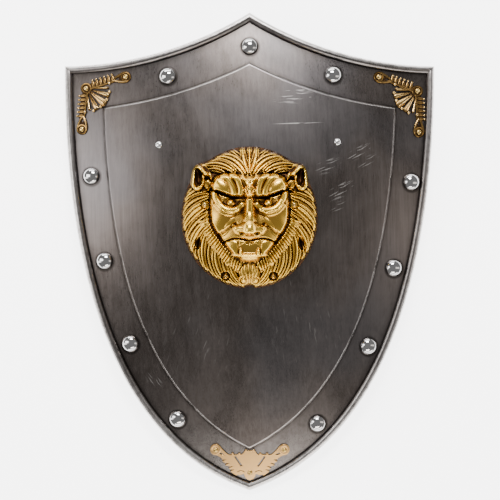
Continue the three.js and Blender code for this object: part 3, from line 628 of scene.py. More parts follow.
@dataclass(frozen=True)
class AntiqueSteel:
    """Dark brushed sheet with clouds of patina, bright edges that are partly rubbed and partly painted
    highlight and reflection, painted shade in creases, painted contact shadows round feet, and scratches.
    """

    dark: Colour = (0.074, 0.061, 0.054)
    pale: Colour = (0.155, 0.134, 0.125)
    worn_and_sheen: Colour = (0.56, 0.53, 0.51)
    grime: Colour = (0.012, 0.010, 0.008)
    cool: Colour = (0.096, 0.102, 0.118)
    roughness: tuple[float, float] = (0.26, 0.35)
    patches: tuple[ScratchPatch, ...] = (
        ScratchPatch((0.139, 0.127), 30, (0.008, 0.026), 420, 0.9),
        ScratchPatch((0.100, 0.110), 21, (0.012, 0.022), 380, 0.7),
        ScratchPatch((0.116, 0.079), 28, (0.013, 0.028), 400, 0.85),
        ScratchPatch((0.113, 0.058), 24, (0.007, 0.014), 420, 0.6),
        ScratchPatch((0.151, 0.116), 31, (0.007, 0.020), 420, 0.6),
        ScratchPatch((0.060, 0.199), 3, (0.014, 0.040), 360, 0.6),
        ScratchPatch((0.061, 0.1636), 2, (0.0009, 0.037), 260, 0.9, 0.40),
        ScratchPatch((-0.121, -0.164), -52, (0.010, 0.016), 420, 0.6),
        ScratchPatch((-0.060, -0.110), 72, (0.060, 0.090), 260, 0.22, 0.64),
        ScratchPatch((0.070, -0.090), 100, (0.060, 0.100), 260, 0.22, 0.64),
    )

    def base(self, kit: NodeKit, place: Socket, lines: Socket, streaks: Socket, clouds: Socket) -> Socket:
        """Colour of the brushed sheet before wear and dirt.

        Args:
            kit: Kit of the material's tree.
            place: The object coordinates.
            lines: Fine brushed lines.
            streaks: Broad brushed streaks.
            clouds: Large clouds of patina.

        Returns:
            The colour.
        """
        tone = kit.math("MULTIPLY_ADD", clouds, 0.50, kit.math("MULTIPLY", streaks, 0.34))
        tone = kit.math("MULTIPLY_ADD", kit.noise(place, 42, 4, 0.6), 0.18, tone)
        tone = kit.math("MULTIPLY_ADD", kit.math("SUBTRACT", lines, 0.5), 0.30, tone)
        base = kit.mix(kit.span(tone, 0.28, 0.72), (*self.dark, 1), (*self.pale, 1))
        cool_mask = kit.math("MULTIPLY", kit.span(kit.noise(place, 5, 2), 0.5, 0.66), 0.3)
        return kit.mix(cool_mask, base, (*self.cool, 1))

    def scratches(self, kit: NodeKit, place: Socket, group: Group) -> Socket:
        """Mask of all patches of scratches.

        Args:
            kit: Kit of the material's tree.
            place: The object coordinates.
            group: The scratches' group.

        Returns:
            The mask.
        """
        mask = None
        for patch in self.patches:
            turn = (0, 0, math.radians(90 - patch.degrees))
            found = kit.group(group, {
                "Place": place, "Middle": (*patch.middle, 0), "Turn": turn, "Size": (*patch.size, 1),
                "Density": patch.density, "Amount": patch.amount, "Cut": patch.cut,
            }).outputs[0]
            mask = found if mask is None else kit.math("MAXIMUM", mask, found)
        return mask

    def shade_mask(self, kit: NodeKit, place: Socket, group: Group, feet: Sequence[tuple]) -> Socket:
        """Mask of the painted shade in creases, and of the painted contact shadows round the rivets' feet and
        under the fans.

        Args:
            kit: Kit of the material's tree.
            place: The object coordinates.
            group: The contact shadow's group.
            feet: Place and radius of each foot in millimetres.

        Returns:
            The mask.
        """
        # Painted shade in the creases of the sheet and the bead, broken up by noise.
        crease = kit.node("ShaderNodeAttribute", attribute_name="grime").outputs["Fac"]
        patchy = kit.span(kit.noise(place, 90, 3), 0.2, 0.6, 0.6, 1.0)
        shade_mask = kit.math("MULTIPLY", crease, patchy, clamp=True)
        for x, y, radius in feet:
            # Painted contact shadow round each foot, shifted a little to the right and towards the tip.
            middle = ((x + 0.5) * MM, (y - 0.9) * MM, 0)
            contact_shadow = kit.group(group, {"Place": place, "Middle": middle, "Radius": radius * MM}).outputs[0]
            shade_mask = kit.math("MAXIMUM", shade_mask, kit.math("MULTIPLY", contact_shadow, 0.65))
        return shade_mask

    def material(
        self, name: str, groups: dict[str, Group], feet: Sequence[tuple[float, float, float]] = (),
    ) -> bpy.types.Material:
        """Builds the material.

        Args:
            name: Name of the material.
            groups: The brushing, scratches and contact shadow groups.
            feet: Place and radius of each rivet's foot in millimetres.

        Returns:
            The material.
        """
        made, kit, place = blank_material(name)
        lines, streaks = kit.group(groups["brushing"], {"Place": place}).outputs
        clouds = kit.noise(kit.stretched(place, (1, 0.6, 1)), 9, 5, 0.62, 0.6)
        base = self.base(kit, place, lines, streaks, clouds)
        # Lighter where rubbed, and where a painted highlight lies on the panel's step and painted reflections
        # lie on the bead and towards the tip.
        wear = kit.node("ShaderNodeAttribute", attribute_name="wear").outputs["Fac"]
        patchy = kit.span(kit.noise(place, 120, 4, 0.7), 0.30, 0.62, 0.45, 1.0)
        base = kit.mix(kit.math("MULTIPLY", wear, patchy, clamp=True), base, (*self.worn_and_sheen, 1))
        mask = self.scratches(kit, place, groups["scratches"])
        base = kit.mix(mask, base, (*self.worn_and_sheen, 1))
        # Painted shade and painted contact shadows darken the sheet.
        base = kit.mix(self.shade_mask(kit, place, groups["contact_shadow"], feet), base, (*self.grime, 1))
        uneven = kit.math("MULTIPLY_ADD", lines, 0.5, kit.math("MULTIPLY", clouds, 0.5))
        rough = kit.span(uneven, 0.35, 0.65, *self.roughness)
        height = kit.math("MULTIPLY_ADD", lines, 0.6, kit.math("MULTIPLY", streaks, 0.5))
        height = kit.math("MULTIPLY_ADD", mask, -0.6, height)
        bump = kit.node("ShaderNodeBump", {"Strength": 0.22, "Distance": 0.00015, "Height": height})
        principled(kit, {"Base Color": base, "Metallic": 1.0, "Roughness": rough, "Normal": bump.outputs[0]})
        return made


@dataclass(frozen=True)
class PatinaMetal:
    """Cast or stamped yellow metal, dark in its recesses and rubbed bright on its crests."""

    recess: Colour
    middle: Colour
    crest: Colour
    roughness: tuple[float, float]
    break_up: float = 0.16

    def material(self, name: str, patina: Group) -> bpy.types.Material:
        """Builds the material.

        Args:
            name: Name of the material.
            patina: The recess and crest group.

        Returns:
            The material.
        """
        made, kit, place = blank_material(name)
        cavity = kit.node("ShaderNodeAttribute", attribute_name="cavity").outputs["Fac"]
        tone = kit.group(patina, {"Place": place, "Cavity": cavity, "Break": self.break_up}).outputs[0]
        stops = [(0.0, self.recess), (0.26, self.recess), (0.50, self.middle), (1.0, self.crest)]
        base = kit.ramp(tone, stops)
        metal = kit.span(tone, 0.15, 0.35, 0.92, 1.0)
        rough = kit.span(tone, 0.20, 0.6, *self.roughness)
        pits = kit.noise(place, 900, 3, 0.6)
        bump = kit.node("ShaderNodeBump", {"Strength": 0.05, "Distance": 0.0002, "Height": pits})
        inputs = {"Base Color": base, "Metallic": metal, "Roughness": rough, "Normal": bump.outputs[0]}
        principled(kit, inputs)
        return made


@dataclass(frozen=True)
class Polished:
    """Polished metal with a faint haze of handling marks."""

    colour: Colour
    roughness: tuple[float, float]
    dents: float = 0.05

    def material(self, name: str) -> bpy.types.Material:
        """Builds the material.

        Args:
            name: Name of the material.

        Returns:
            The material.
        """
        made, kit, place = blank_material(name)
        dented = kit.noise(place, 130, 1, 0.4)
        bump = kit.node("ShaderNodeBump", {"Strength": self.dents, "Distance": 0.004, "Height": dented})
        haze = kit.noise(place, 260, 4, 0.6)
        rough = kit.span(haze, 0.3, 0.7, *self.roughness)
        dull = tuple(c * 0.8 for c in self.colour)
        base = kit.mix(kit.span(haze, 0.55, 0.8), (*self.colour, 1), (*dull, 1))
        principled(kit, {"Base Color": base, "Metallic": 1.0, "Roughness": rough, "Normal": bump.outputs[0]})
        return made


@dataclass
class Finishes:
    """All materials of the shield, built once."""

    feet: Sequence[tuple[float, float, float]]
    steel: bpy.types.Material = field(init=False)
    strap: bpy.types.Material = field(init=False)
    gold: bpy.types.Material = field(init=False)
    brass: bpy.types.Material = field(init=False)
    tip_brass: bpy.types.Material = field(init=False)
    pin: bpy.types.Material = field(init=False)
    chrome: bpy.types.Material = field(init=False)
    small: bpy.types.Material = field(init=False)

    def __post_init__(self) -> None:
        """Builds the groups and then the materials."""
        groups = {"brushing": brushing_group(), "scratches": scratch_group(), "contact_shadow": contact_shadow_group()}
        patina = patina_group()
        self.steel = AntiqueSteel().material("antique_steel", groups, self.feet)
        strap_marks = (ScratchPatch((0, 0.138), 80, (0.03, 0.1), 200, 0.4),)
        self.strap = AntiqueSteel(pale=(0.2, 0.19, 0.18), patches=strap_marks).material("strap_steel", groups)
        self.gold = PatinaMetal(
            recess=(0.050, 0.020, 0.006), middle=(0.46, 0.250, 0.040), crest=(0.98, 0.640, 0.085),
            roughness=(0.42, 0.26),
        ).material("antique_gold", patina)
        self.brass = PatinaMetal(
            recess=(0.035, 0.018, 0.007), middle=(0.25, 0.145, 0.045), crest=(0.78, 0.54, 0.23),
            roughness=(0.45, 0.17),
        ).material("fitting_brass", patina)
        self.tip_brass = PatinaMetal(
            recess=(0.035, 0.017, 0.007), middle=(0.38, 0.22, 0.08), crest=(0.86, 0.52, 0.20),
            roughness=(0.48, 0.32),
        ).material("tip_brass", patina)
        self.pin = Polished((0.55, 0.37, 0.12), (0.16, 0.3)).material("pin_brass")
        self.chrome = Polished((0.46, 0.45, 0.445), (0.04, 0.10)).material("rivet_chrome")
        self.small = Polished((0.78, 0.77, 0.76), (0.12, 0.25)).material("small_rivet_steel")


def mesh_object(
    name: str,
    points: np.ndarray,
    faces: Sequence[Sequence[int]],
    material: bpy.types.Material,
    attributes: dict[str, np.ndarray] | None = None,
    sharp_degrees: float = 40,
) -> bpy.types.Object:
    """Makes a smooth shaded mesh from points in millimetres.

    Args:
        name: Name of the object.
        points: Points in millimetres, in the shared frame.
        faces: Corner indices of each face.
        material: Its only material.
        attributes: Float values of each point by name.
        sharp_degrees: Edges that bend more than this stay sharp.

    Returns:
        The object.
    """
    mesh = bpy.data.meshes.new(name)
    mesh.from_pydata(np.asarray(points, float) * MM, [], faces)
    for label, values in (attributes or {}).items():
        mesh.attributes.new(label, "FLOAT", "POINT").data.foreach_set("value", np.asarray(values, np.float32))
    mesh.materials.append(material)
    mesh.validate()
    made = bpy.data.objects.new(name, mesh)
    bpy.context.scene.collection.objects.link(made)
    work = bmesh.new()
    work.from_mesh(mesh)
    bmesh.ops.recalc_face_normals(work, faces=work.faces)
    work.to_mesh(mesh)
    work.free()
    mesh.shade_smooth()
    mesh.set_sharp_from_angle(angle=math.radians(sharp_degrees))
    return made


def settle(made: bpy.types.Object, nodes: Sequence[str]) -> None:
    """Ties a piece to the frame: it rides the root body and stands for its nodes.

    Args:
        made: The piece.
        nodes: The CAD nodes that it stands for.
    """
    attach(made, "root")
    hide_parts(*nodes)
    faces = sum(len(p.vertices) - 2 for p in made.data.polygons)
    LOG.info("%s: %d triangles for %s", made.name, faces, ", ".join(nodes))


@dataclass(frozen=True)
class PlateRing:
    """One ring of the plate's skin, with one share of wear and painted highlight and one of painted shade, or
    one for each of its points.
    """

    points: np.ndarray
    wear: float | np.ndarray = 0.0
    grime: float | np.ndarray = 0.0


@dataclass
class SteelPlate:
    """The sheet with its wired edge and raised panel, as one closed skin of rings.

    Angles are degrees round the bead's section: 0 at its outer side and 90 at its top.
    """

    arc_steps: int = 34
    side_steps: int = 120
    bead_steps: int = 18
    bead_start: float = -141.7
    bead_end: float = 202
    border_steps: int = 8
    step_steps: int = 6
    step_start: float = 0.5
    step_run: float = 2.4
    panel_steps: int = 18

    def bead_plan(self, degrees: float) -> np.ndarray:
        """Plan of the bead's skin at one angle."""
        edge = FORM.outer.loop(self.arc_steps, self.side_steps)
        return edge + inward(edge) * FORM.bead_radius * (1 - math.cos(math.radians(degrees)))

    @staticmethod
    def lifted(plan: np.ndarray, lift: float) -> np.ndarray:
        """A plan's points at a height over the sheet's middle."""
        return np.column_stack([plan, FORM.sheet_z(*plan.T) + lift])

    def face(self, degrees: float, lift: float) -> list[PlateRing]:
        """Rings of one face of the sheet: the border, with painted shade at its creases and lighter towards
        the tip, the step, which carries a painted highlight and painted shade at its foot, and the panel.

        Args:
            degrees: Angle at which the face leaves the bead.
            lift: Height of the face over the sheet's middle.

        Returns:
            The rings, from the edge inwards.
        """
        crease = self.bead_plan(degrees)
        foot = FORM.panel.loop(self.arc_steps, self.side_steps)
        foot_in = inward(foot)
        rings = []
        for t in [*np.linspace(0, 0.93, self.border_steps) ** 1.6, 0.975, 0.992]:
            plan = crease + (foot - crease) * t
            # Painted reflection: the border lightens towards the tip.
            wear = 0.36 * smooth(-185, -290, plan[:, 1])
            # Painted shade in the crease by the bead and at the panel's foot.
            grime = 0.6 * max(0.0, 1 - t * 6) + 0.7 * float(smooth(0.96, 1, t))
            rings.append(PlateRing(self.lifted(plan, lift), wear, grime))
        for t in np.linspace(0, 1, self.step_steps + 1):
            plan = foot + foot_in * (self.step_start + self.step_run * t)
            rise = float(smooth(0, 1, t)) * FORM.panel_raise
            # Painted highlight along the step, strongest where it faces up or down the shield.
            wear = hump(t, 0.8, 0.25) * (0.1 + 0.65 * np.abs(foot_in[:, 1]))
            # Painted shade at the foot of the step.
            rings.append(PlateRing(self.lifted(plan, lift + rise), wear, 0.75 * max(0.0, 1 - t * 3.5)))
        shoulder = foot + foot_in * (self.step_start + self.step_run)
        middle = np.array([0, FORM.lion_y])
        for share in [0.996, 0.985, *np.linspace(0.96, 0.03, self.panel_steps)]:
            plan = middle + (shoulder - middle) * share
            rings.append(PlateRing(self.lifted(plan, lift + FORM.panel_raise)))
        return rings

    def bead(self) -> list[PlateRing]:
        """Rings of the wired edge: lighter on both flanks and towards the tip, partly rubbed and partly
        painted reflection, with painted shade on its crest and inside.

        Returns:
            The rings, from the back round the outer side to the front.
        """
        axis_z = FORM.sheet_z(*self.bead_plan(90).T) + FORM.bead_lift
        rings = []
        for degrees in np.linspace(self.bead_start, self.bead_end, self.bead_steps + 1)[1:-1]:
            plan = self.bead_plan(degrees)
            points = np.column_stack([plan, axis_z + FORM.bead_radius * math.sin(math.radians(degrees))])
            by_tip = smooth(-110, -280, plan[:, 1])
            # Both flanks are lighter, partly rubbed and partly a painted reflection of the floor.
            flanks = hump(degrees, 50, 36) + 0.3 * hump(degrees, 132, 22)
            # Painted reflection: the crest lightens towards the tip.
            wear = flanks + 0.9 * by_tip * hump(degrees, 100, 45)
            # Painted shade on the bead's crest and inner flank, weaker towards the tip.
            grime = 0.25 * float(smooth(145, 188, degrees)) + 0.45 * hump(degrees, 92, 12)
            rings.append(PlateRing(points, wear, grime * (1 - 0.7 * by_tip)))
        return rings

    def build(self, finish: bpy.types.Material) -> bpy.types.Object:
        """Makes the plate's mesh.

        Args:
            finish: Its material.

        Returns:
            The plate.
        """
        back = self.face(self.bead_start, -FORM.sheet / 2)
        rings = [*back[::-1], *self.bead(), *self.face(self.bead_end, FORM.sheet / 2)]
        count = len(rings[0].points)
        top = float(FORM.panel_z(0, FORM.lion_y))
        poles = np.array([[0, FORM.lion_y, top - FORM.sheet], [0, FORM.lion_y, top]])
        points = np.concatenate([poles, *(ring.points for ring in rings)])
        ids, quads = stitched(len(rings), count, len(poles))
        attributes = {
            "wear": np.concatenate([[0, 0], *(np.broadcast_to(ring.wear, count) for ring in rings)]),
            "grime": np.concatenate([[0, 0], *(np.broadcast_to(ring.grime, count) for ring in rings)]),
        }
        made = mesh_object("steel_plate", points, quads + caps(ids, 0, 1), finish, attributes, 32)
        settle(made, ["shield_plate"])
        return made


def rounded(path: Sequence[Point], steps: int = 5) -> list[Point]:
    """Joins a path's points by one smooth curve.

    Args:
        path: Points to pass.
        steps: Steps from one to the next.

    Returns:
        The curve's points.
    """
    p = np.array([path[0], *path, path[-1]], float)
    made = []
    for a, b, c, d in zip(p, p[1:], p[2:], p[3:]):
        for t in np.arange(steps) / steps:
            q = 2 * b + (c - a) * t + (2 * a - 5 * b + 4 * c - d) * t * t + (3 * b - a - 3 * c + d) * t**3
            made.append(tuple(q / 2))
    return [*made, tuple(p[-1])]


def line(x: np.ndarray, y: np.ndarray, path: Sequence[Point], reach: float) -> np.ndarray:
    """A soft ridge along a path, 1 on it and falling off over reach."""
    return hump(path_distance(x, y, path)[0], 0, reach)


def roll(x: np.ndarray, y: np.ndarray, path: Sequence[Point], half: float, power: float = 0.5) -> np.ndarray:
    """A round ridge along a path, with clear edges at half its width."""
    return np.clip(1 - (path_distance(x, y, path)[0] / half) ** 2, 0, None) ** power


def swell(
    x: np.ndarray, y: np.ndarray, cx: float, cy: float, rx: float, ry: float,
    turn: float = 0, power: float = 0.75,
) -> np.ndarray:
    """A domed oval, 1 at its middle and 0 from its edge.

    Args:
        x: Places along x.
        y: Places along y.
        cx: Its middle along x.
        cy: Its middle along y.
        rx: Its first half axis.
        ry: Its second half axis.
        turn: Degrees that it is turned anticlockwise.
        power: Shape of its dome, the lower the steeper at its edge.

    Returns:
        Its height at each place.
    """
    c, s = math.cos(math.radians(turn)), math.sin(math.radians(turn))
    u, v = ((x - cx) * c + (y - cy) * s) / rx, (-(x - cx) * s + (y - cy) * c) / ry
    return np.clip(1 - u * u - v * v, 0, None) ** power


@dataclass(frozen=True)
class Lock:
    """One lock of the mane: its path, half width, count of strands and lift over its neighbours."""

    path: tuple[Point, ...]
    half: float
    strands: int
    lift: float


@dataclass
class LionRelief:
    """The lion's head as a height over the panel, in millimetres from the boss's middle, mirrored in x."""

    side: float = 87.5
    top: float = 91.0
    scale: float = 0.99
    face_edge: tuple[Point, ...] = (
        (0, 53), (14, 56), (30, 57), (44, 53), (50, 42), (52.5, 24), (52.6, 8), (51, -7), (45, -19),
        (37.5, -30), (28.5, -41), (21, -50), (10, -57), (0, -58),
    )
    brow_cut: tuple[Point, ...] = ((50, 35.5), (36, 30.5), (23, 25.5), (12, 24.8), (0, 24.5))
    middle_brow: tuple[Point, ...] = ((34, 54), (27.5, 48.5), (22.8, 41), (20.2, 34), (20, 27))
    inner_brow: tuple[Point, ...] = ((22, 55), (16.4, 49), (13.2, 42), (11.7, 35), (12.4, 27))
    eye: Point = (23.6, 19.0)
    folds: tuple[tuple[tuple[Point, ...], float, float], ...] = (
        (((46, 32), (42, 22.5), (35, 13.8), (25, 9.4), (16, 10.4), (10.5, 16.5)), 4.8, 6.0),
        (((44, 15.5), (37, 8.2), (29, 4.4), (21, 3.8), (13.5, 7.5)), 3.0, 2.6),
    )
    cheek_fold: tuple[Point, ...] = ((18, -8), (27, -14), (39, -23))
    lip: tuple[Point, ...] = ((0, -30), (6, -28.5), (12, -27.2), (20, -27), (27, -29), (33, -32))
    ear_rim: tuple[Point, ...] = (
        (55.5, 55), (62, 61.5), (69.5, 65), (73, 55), (72.4, 43), (68.5, 36.5), (62.5, 40), (59.5, 52),
    )
    ear_curl: tuple[Point, ...] = ((45.5, 48), (51, 54.5), (56.5, 56.5))
    ear_lock: tuple[Point, ...] = ((48, 40.5), (53.5, 46), (56.5, 44), (54, 39.5))
    rope_start: int = 6
    rope_pitch: float = 3.7
    locks: list[Lock] = field(init=False)

    def __post_init__(self) -> None:
        """Lays out the locks: those of the crown, then those that fall from the face's edge."""
        crown = [
            ((0, 57), self.rim_point(0, 0.985), 0, 5.0, 2, 0.2),
            ((1.5, 57), self.rim_point(6, 0.985), -1.5, 5.2, 2, 1.5),
            ((3, 56), self.rim_point(16, 0.985), 4, 6.4, 3, -1.0),
            ((5, 56), self.rim_point(28, 0.985), 7, 7.4, 3, 1.8),
            ((9, 58), self.rim_point(39, 0.965), 8, 7.2, 3, -1.2),
            ((20, 60), (60, 67), 6, 6.4, 3, 1.4),
            ((32, 58), (57, 60), 4, 4.8, 2, -1.0),
        ]
        falling = [
            (0.335, 2, 74, 0.985, 4, 6.6, 1.2), (0.395, 2, 87, 0.985, 5, 7.0, -1.0),
            (0.455, 2, 99, 0.985, 4.5, 7.2, 1.4), (0.52, 2, 110, 0.985, 4, 6.8, -0.8),
            (0.57, 2, 119, 0.985, 3.5, 6.2, 1.0), (0.6, 12, 127, 0.97, 3, 4.6, -1.2),
            (0.635, 9.8, 140, 0.97, 5, 6.0, 0.8), (0.69, 9.8, 151, 0.97, 6, 6.2, -0.4),
            (0.75, 9.8, 161, 0.97, 6, 6.0, 0.7), (0.81, 9.8, 169, 0.97, 5, 5.6, -0.3),
            (0.875, 9, 175, 0.97, 4, 4.8, 0.6),
        ]
        self.locks = [
            Lock(self.bent(p, q, bow), half, strands, lift) for p, q, bow, half, strands, lift in crown
        ]
        for leaves, out, rim, share, bow, half, lift in falling:
            path = self.bent(self.off_face(leaves, out), self.rim_point(rim, share), bow)
            self.locks.append(Lock(path, half, 3, lift))

    def boss_radius(self, angle: np.ndarray) -> np.ndarray:
        """Finds the boss's outline.

        Args:
            angle: Angles from +x in radians.

        Returns:
            The radius at each angle, over its ears and the notch below.
        """
        oval = self.side * self.top / np.hypot(np.cos(angle) * self.top, np.sin(angle) * self.side)
        from_top = np.abs(np.arctan2(np.cos(angle), np.sin(angle)))
        ear = 7 * hump(from_top, math.radians(47), math.radians(8))
        return oval + ear - 3 * hump(from_top, math.pi, math.radians(4))

    def rim_point(self, degrees: float, share: float) -> Point:
        """A point near the rim at an angle from the top."""
        angle = math.pi / 2 - math.radians(degrees)
        r = float(self.boss_radius(np.array(angle))) * share
        return r * math.cos(angle), r * math.sin(angle)

    def off_face(self, leaves: float, out: float) -> Point:
        """Finds a point near the face's edge.

        Args:
            leaves: Share of the edge's length.
            out: Distance out from the edge.

        Returns:
            The point.
        """
        edge = np.array(self.face_edge)
        steps = np.linalg.norm(np.diff(edge, axis=0), axis=1)
        left = leaves * steps.sum()
        i = 0
        while left > steps[i]:
            left -= steps[i]
            i += 1
        way = (edge[i + 1] - edge[i]) / steps[i]
        found = edge[i] + way * left + np.array([-way[1], way[0]]) * out
        return float(found[0]), float(found[1])

    @staticmethod
    def bent(start: Point, end: Point, bow: float, steps: int = 10) -> tuple[Point, ...]:
        """Draws a path that bows sideways.

        Args:
            start: Its first point.
            end: Its last point.
            bow: How far its middle bows.
            steps: Steps along it.

        Returns:
            The path.
        """
        p, q = np.array(start), np.array(end)
        way = (q - p) / np.linalg.norm(q - p)
        control = (p + q) / 2 - np.array([way[1], -way[0]]) * bow * 2
        t = np.linspace(0, 1, steps + 1)[:, None]
        return tuple(map(tuple, (1 - t) ** 2 * p + 2 * (1 - t) * t * control + t**2 * q))

    def brow(self, x: np.ndarray, y: np.ndarray) -> np.ndarray:
        """Raises the brow's lobes and the knob between them, over a deep cut.

        Args:
            x: Places along x.
            y: Places along y.

        Returns:
            Height over the face's ground.
        """
        outer = swell(x, y, 36.6, 39.5, 15.6, 10.2, 38, 0.5)
        middle = roll(x, y, rounded(self.middle_brow), 5.3, 0.5)
        inner = roll(x, y, rounded(self.inner_brow), 4.5, 0.5)
        h = 3 + 6.5 * np.maximum(outer, np.maximum(middle * 0.9, inner * 0.84))
        h += 4.5 * swell(x, y, 0, 33, 8.5, 9, 0, 0.5)
        h += 3 * line(x, y, [(0, 39), (0, 53)], 2.6) + 2.2 * line(x, y, [(3, 42), (8.5, 54)], 1.8)
        h -= 1.4 * line(x, y, rounded([(4.4, 36), (3.0, 31.8), (0, 30.2)]), 0.8)
        over = y - np.interp(x, *np.array(self.brow_cut[::-1]).T)
        cut = 1.4 + 3.8 * smooth(9, 17, x)
        return h * smooth(-0.5, 4.5, over) - cut * line(x, y, self.brow_cut, 1.3)

    def eyes(self, x: np.ndarray, y: np.ndarray) -> np.ndarray:
        """Sets the eyeballs in their sockets, with the folds under them.

        Args:
            x: Places along x.
            y: Places along y.

        Returns:
            Height over the face's ground.
        """
        ex, ey = self.eye
        h = 5.2 * swell(x, y, ex, ey, 6.2, 5.2, 0, 0.7) - 3.6 * swell(x, y, ex - 1, ey + 1, 12, 6.2, 0, 0.6)
        h += 4.4 * swell(x, y, 36, 0, 18, 28, 22, 1.0)
        for path, half, lift in self.folds:
            h += lift * roll(x, y, rounded(path), half, 0.7)
        return h

    def muzzle(self, x: np.ndarray, y: np.ndarray) -> np.ndarray:
        """Raises the nose, cheeks, lips, fangs and chin.

        Args:
            x: Places along x.
            y: Places along y.

        Returns:
            Height over the face's ground.
        """
        d, s, _ = path_distance(x, y, [(0, 26), (0, -22)])
        h = 5 * swell(x, y, 0, -27, 36, 34)
        h += 7.5 * np.exp(-((d / (5.6 + 3.4 * s)) ** 3)) * smooth(-25, -18, y)
        h += 4 * swell(x, y, 0, -16, 19, 11, 0, 0.9) + 3.2 * swell(x, y, 14.5, -15.5, 6.5, 7, 0, 1.0)
        h -= 3.2 * swell(x, y, 9.6, -20.4, 4.6, 2.4, 15)
        h += 2.5 * swell(x, y, 20, -13, 2.8, 5, -10, 0.7)
        h -= 2.4 * line(x, y, self.cheek_fold, 2.0) + 3.4 * line(x, y, rounded(self.lip), 1.3)
        h -= 2.5 * swell(x, y, 0, -32.5, 6, 2.2)
        h += 1.8 * swell(x, y, 24, -39, 12, 10, 0, 0.6) - 1.0 * swell(x, y, 0, -39, 13.5, 8, 0, 0.4)
        h -= 1.4 * line(x, y, [(14, -30), (14, -47)], 1.0)
        h += 3.4 * swell(x, y, 11, -44, 2.6, 5.5) + 3.6 * line(x, y, [(0, -48.6), (24, -49.2)], 2.3)
        return h + 2 * swell(x, y, 0, -55, 14, 4.5)

    def face(self, x: np.ndarray, y: np.ndarray, depth: np.ndarray) -> np.ndarray:
        """The face, which rises from its edge."""
        ground = 17.5 + 6.5 * smooth(0, 6, depth) + 3.5 * (1 - (x / 54) ** 2)
        return ground + self.brow(x, y) + self.eyes(x, y) + self.muzzle(x, y)

    def hair(self, x: np.ndarray, y: np.ndarray, level: np.ndarray) -> np.ndarray:
        """Lays the locks over one another, with their strands.

        Args:
            x: Places along x.
            y: Places along y.
            level: Height of the mane's ground at each place.

        Returns:
            Height at each place.
        """
        h = level - 4.5
        for lock in self.locks:
            near = np.ones(x.shape, bool)
            for places, path in zip((x, y), zip(*lock.path)):
                near &= (places > min(path) - lock.half - 2) & (places < max(path) + lock.half + 2)
            d, s, sideways = path_distance(x[near], y[near], lock.path)
            half = lock.half * (0.72 + 0.38 * np.sin(np.pi * np.clip(s * 1.15, 0, 1)))
            across = np.clip(d / half, 0, 1.5)
            body = np.clip(1 - across**2, 0, None) ** 0.6
            strand = np.abs(np.cos(sideways / half * lock.strands * math.pi / 2)) ** 0.8 - 0.6
            raised = level[near] - 2 + lock.lift + 5.5 * body * (0.8 + 0.2 * s)
            raised += 2.7 * strand * smooth(0, 0.25, 1 - across) * np.minimum(1, 1.3 - 0.5 * s)
            h[near] = np.maximum(h[near], np.where(d < half, raised, -1e9))
        return h

    def mane(self, x: np.ndarray, y: np.ndarray, depth: np.ndarray, share: np.ndarray) -> np.ndarray:
        """Builds up the mane, the ropes round the face, the beard's tuft and the ears.

        Args:
            x: Places along x.
            y: Places along y.
            depth: How far each place lies outside the face, below 0.
            share: Each place's share of the way from the middle to the rim.

        Returns:
            Height at each place.
        """
        level = 9 + 15 * (1 - share**3)
        h = self.hair(x, y, level)
        edge = self.face_edge[self.rope_start:]
        _, s, _ = path_distance(x, y, edge)
        arc = s * sum(math.dist(a, b) for a, b in zip(edge, edge[1:]))
        across = np.clip(1 - ((-depth - 6.4) / 8.6) ** 2, 0, None) ** 0.6
        ridge = np.abs(np.sin(math.pi * (arc + depth * 0.25) / self.rope_pitch)) ** 0.8 - 0.6
        ropes = level - 0.5 + 4.2 * across + 2.5 * ridge * smooth(0, 0.45, across)
        h = np.where((across > 0) & (s > 0.12), np.maximum(h, ropes), h)
        bulb = swell(x, y, 0, -73, 14.5, 17, 0, 0.55)
        flutes = np.abs(np.cos(np.arctan2(x, y + 96) * 19)) ** 0.8 - 0.6
        tuft = level - 1 + 6.5 * bulb + 1.5 * flutes * smooth(0, 0.4, bulb)
        h = np.where(bulb > 0.02, np.maximum(h - 4, tuft), h)
        curl = np.hypot(x - 7.6, y + 80.5)
        volute = level + 1 + 5 * np.clip(1 - (curl / 7.2) ** 2, 0, None) ** 0.5
        volute -= 2.2 * hump(curl, 4.0, 0.9)
        h = np.where(curl < 7.2, np.maximum(h, volute), h)
        h = h - 6 * swell(x, y, 66, -33, 4, 9, 8, 0.6) - 7 * swell(x, y, 31, -75, 6.5, 6, 20, 0.6)
        zone = swell(x, y, 63, 51, 15, 19.5, -15, 1)
        ear = 17 + 9 * roll(x, y, rounded(self.ear_rim), 3.4, 0.6)
        ear -= 7 * swell(x, y, 65, 52, 5.2, 12, -10, 0.6)
        ear += 6 * roll(x, y, rounded(self.ear_curl), 3.2) + 5 * roll(x, y, rounded(self.ear_lock), 3.4)
        return np.where(zone > 0.03, np.maximum(h - 8 * smooth(0.03, 0.3, zone), ear), h)

    def height(self, x: np.ndarray, y: np.ndarray) -> np.ndarray:
        """Joins the face and the mane to one relief.

        Args:
            x: Places along x.
            y: Places along y.

        Returns:
            Height over the panel at each place.
        """
        x = np.abs(x)
        share = np.minimum(1, np.hypot(x, y) / self.boss_radius(np.arctan2(y, x)))
        edge = path_distance(x, y, self.face_edge)[0]
        depth = np.where(crossed(x, y, self.face_edge), edge, -edge)
        face = self.face(x, y, np.maximum(depth, 0))
        mane = self.mane(x, y, np.minimum(depth, 0), share)
        blend = smooth(-1.2, 1.2, depth)
        return (mane * (1 - blend) + face * blend) * np.sqrt(1 - 0.75 * smooth(0.93, 1, share) ** 2)

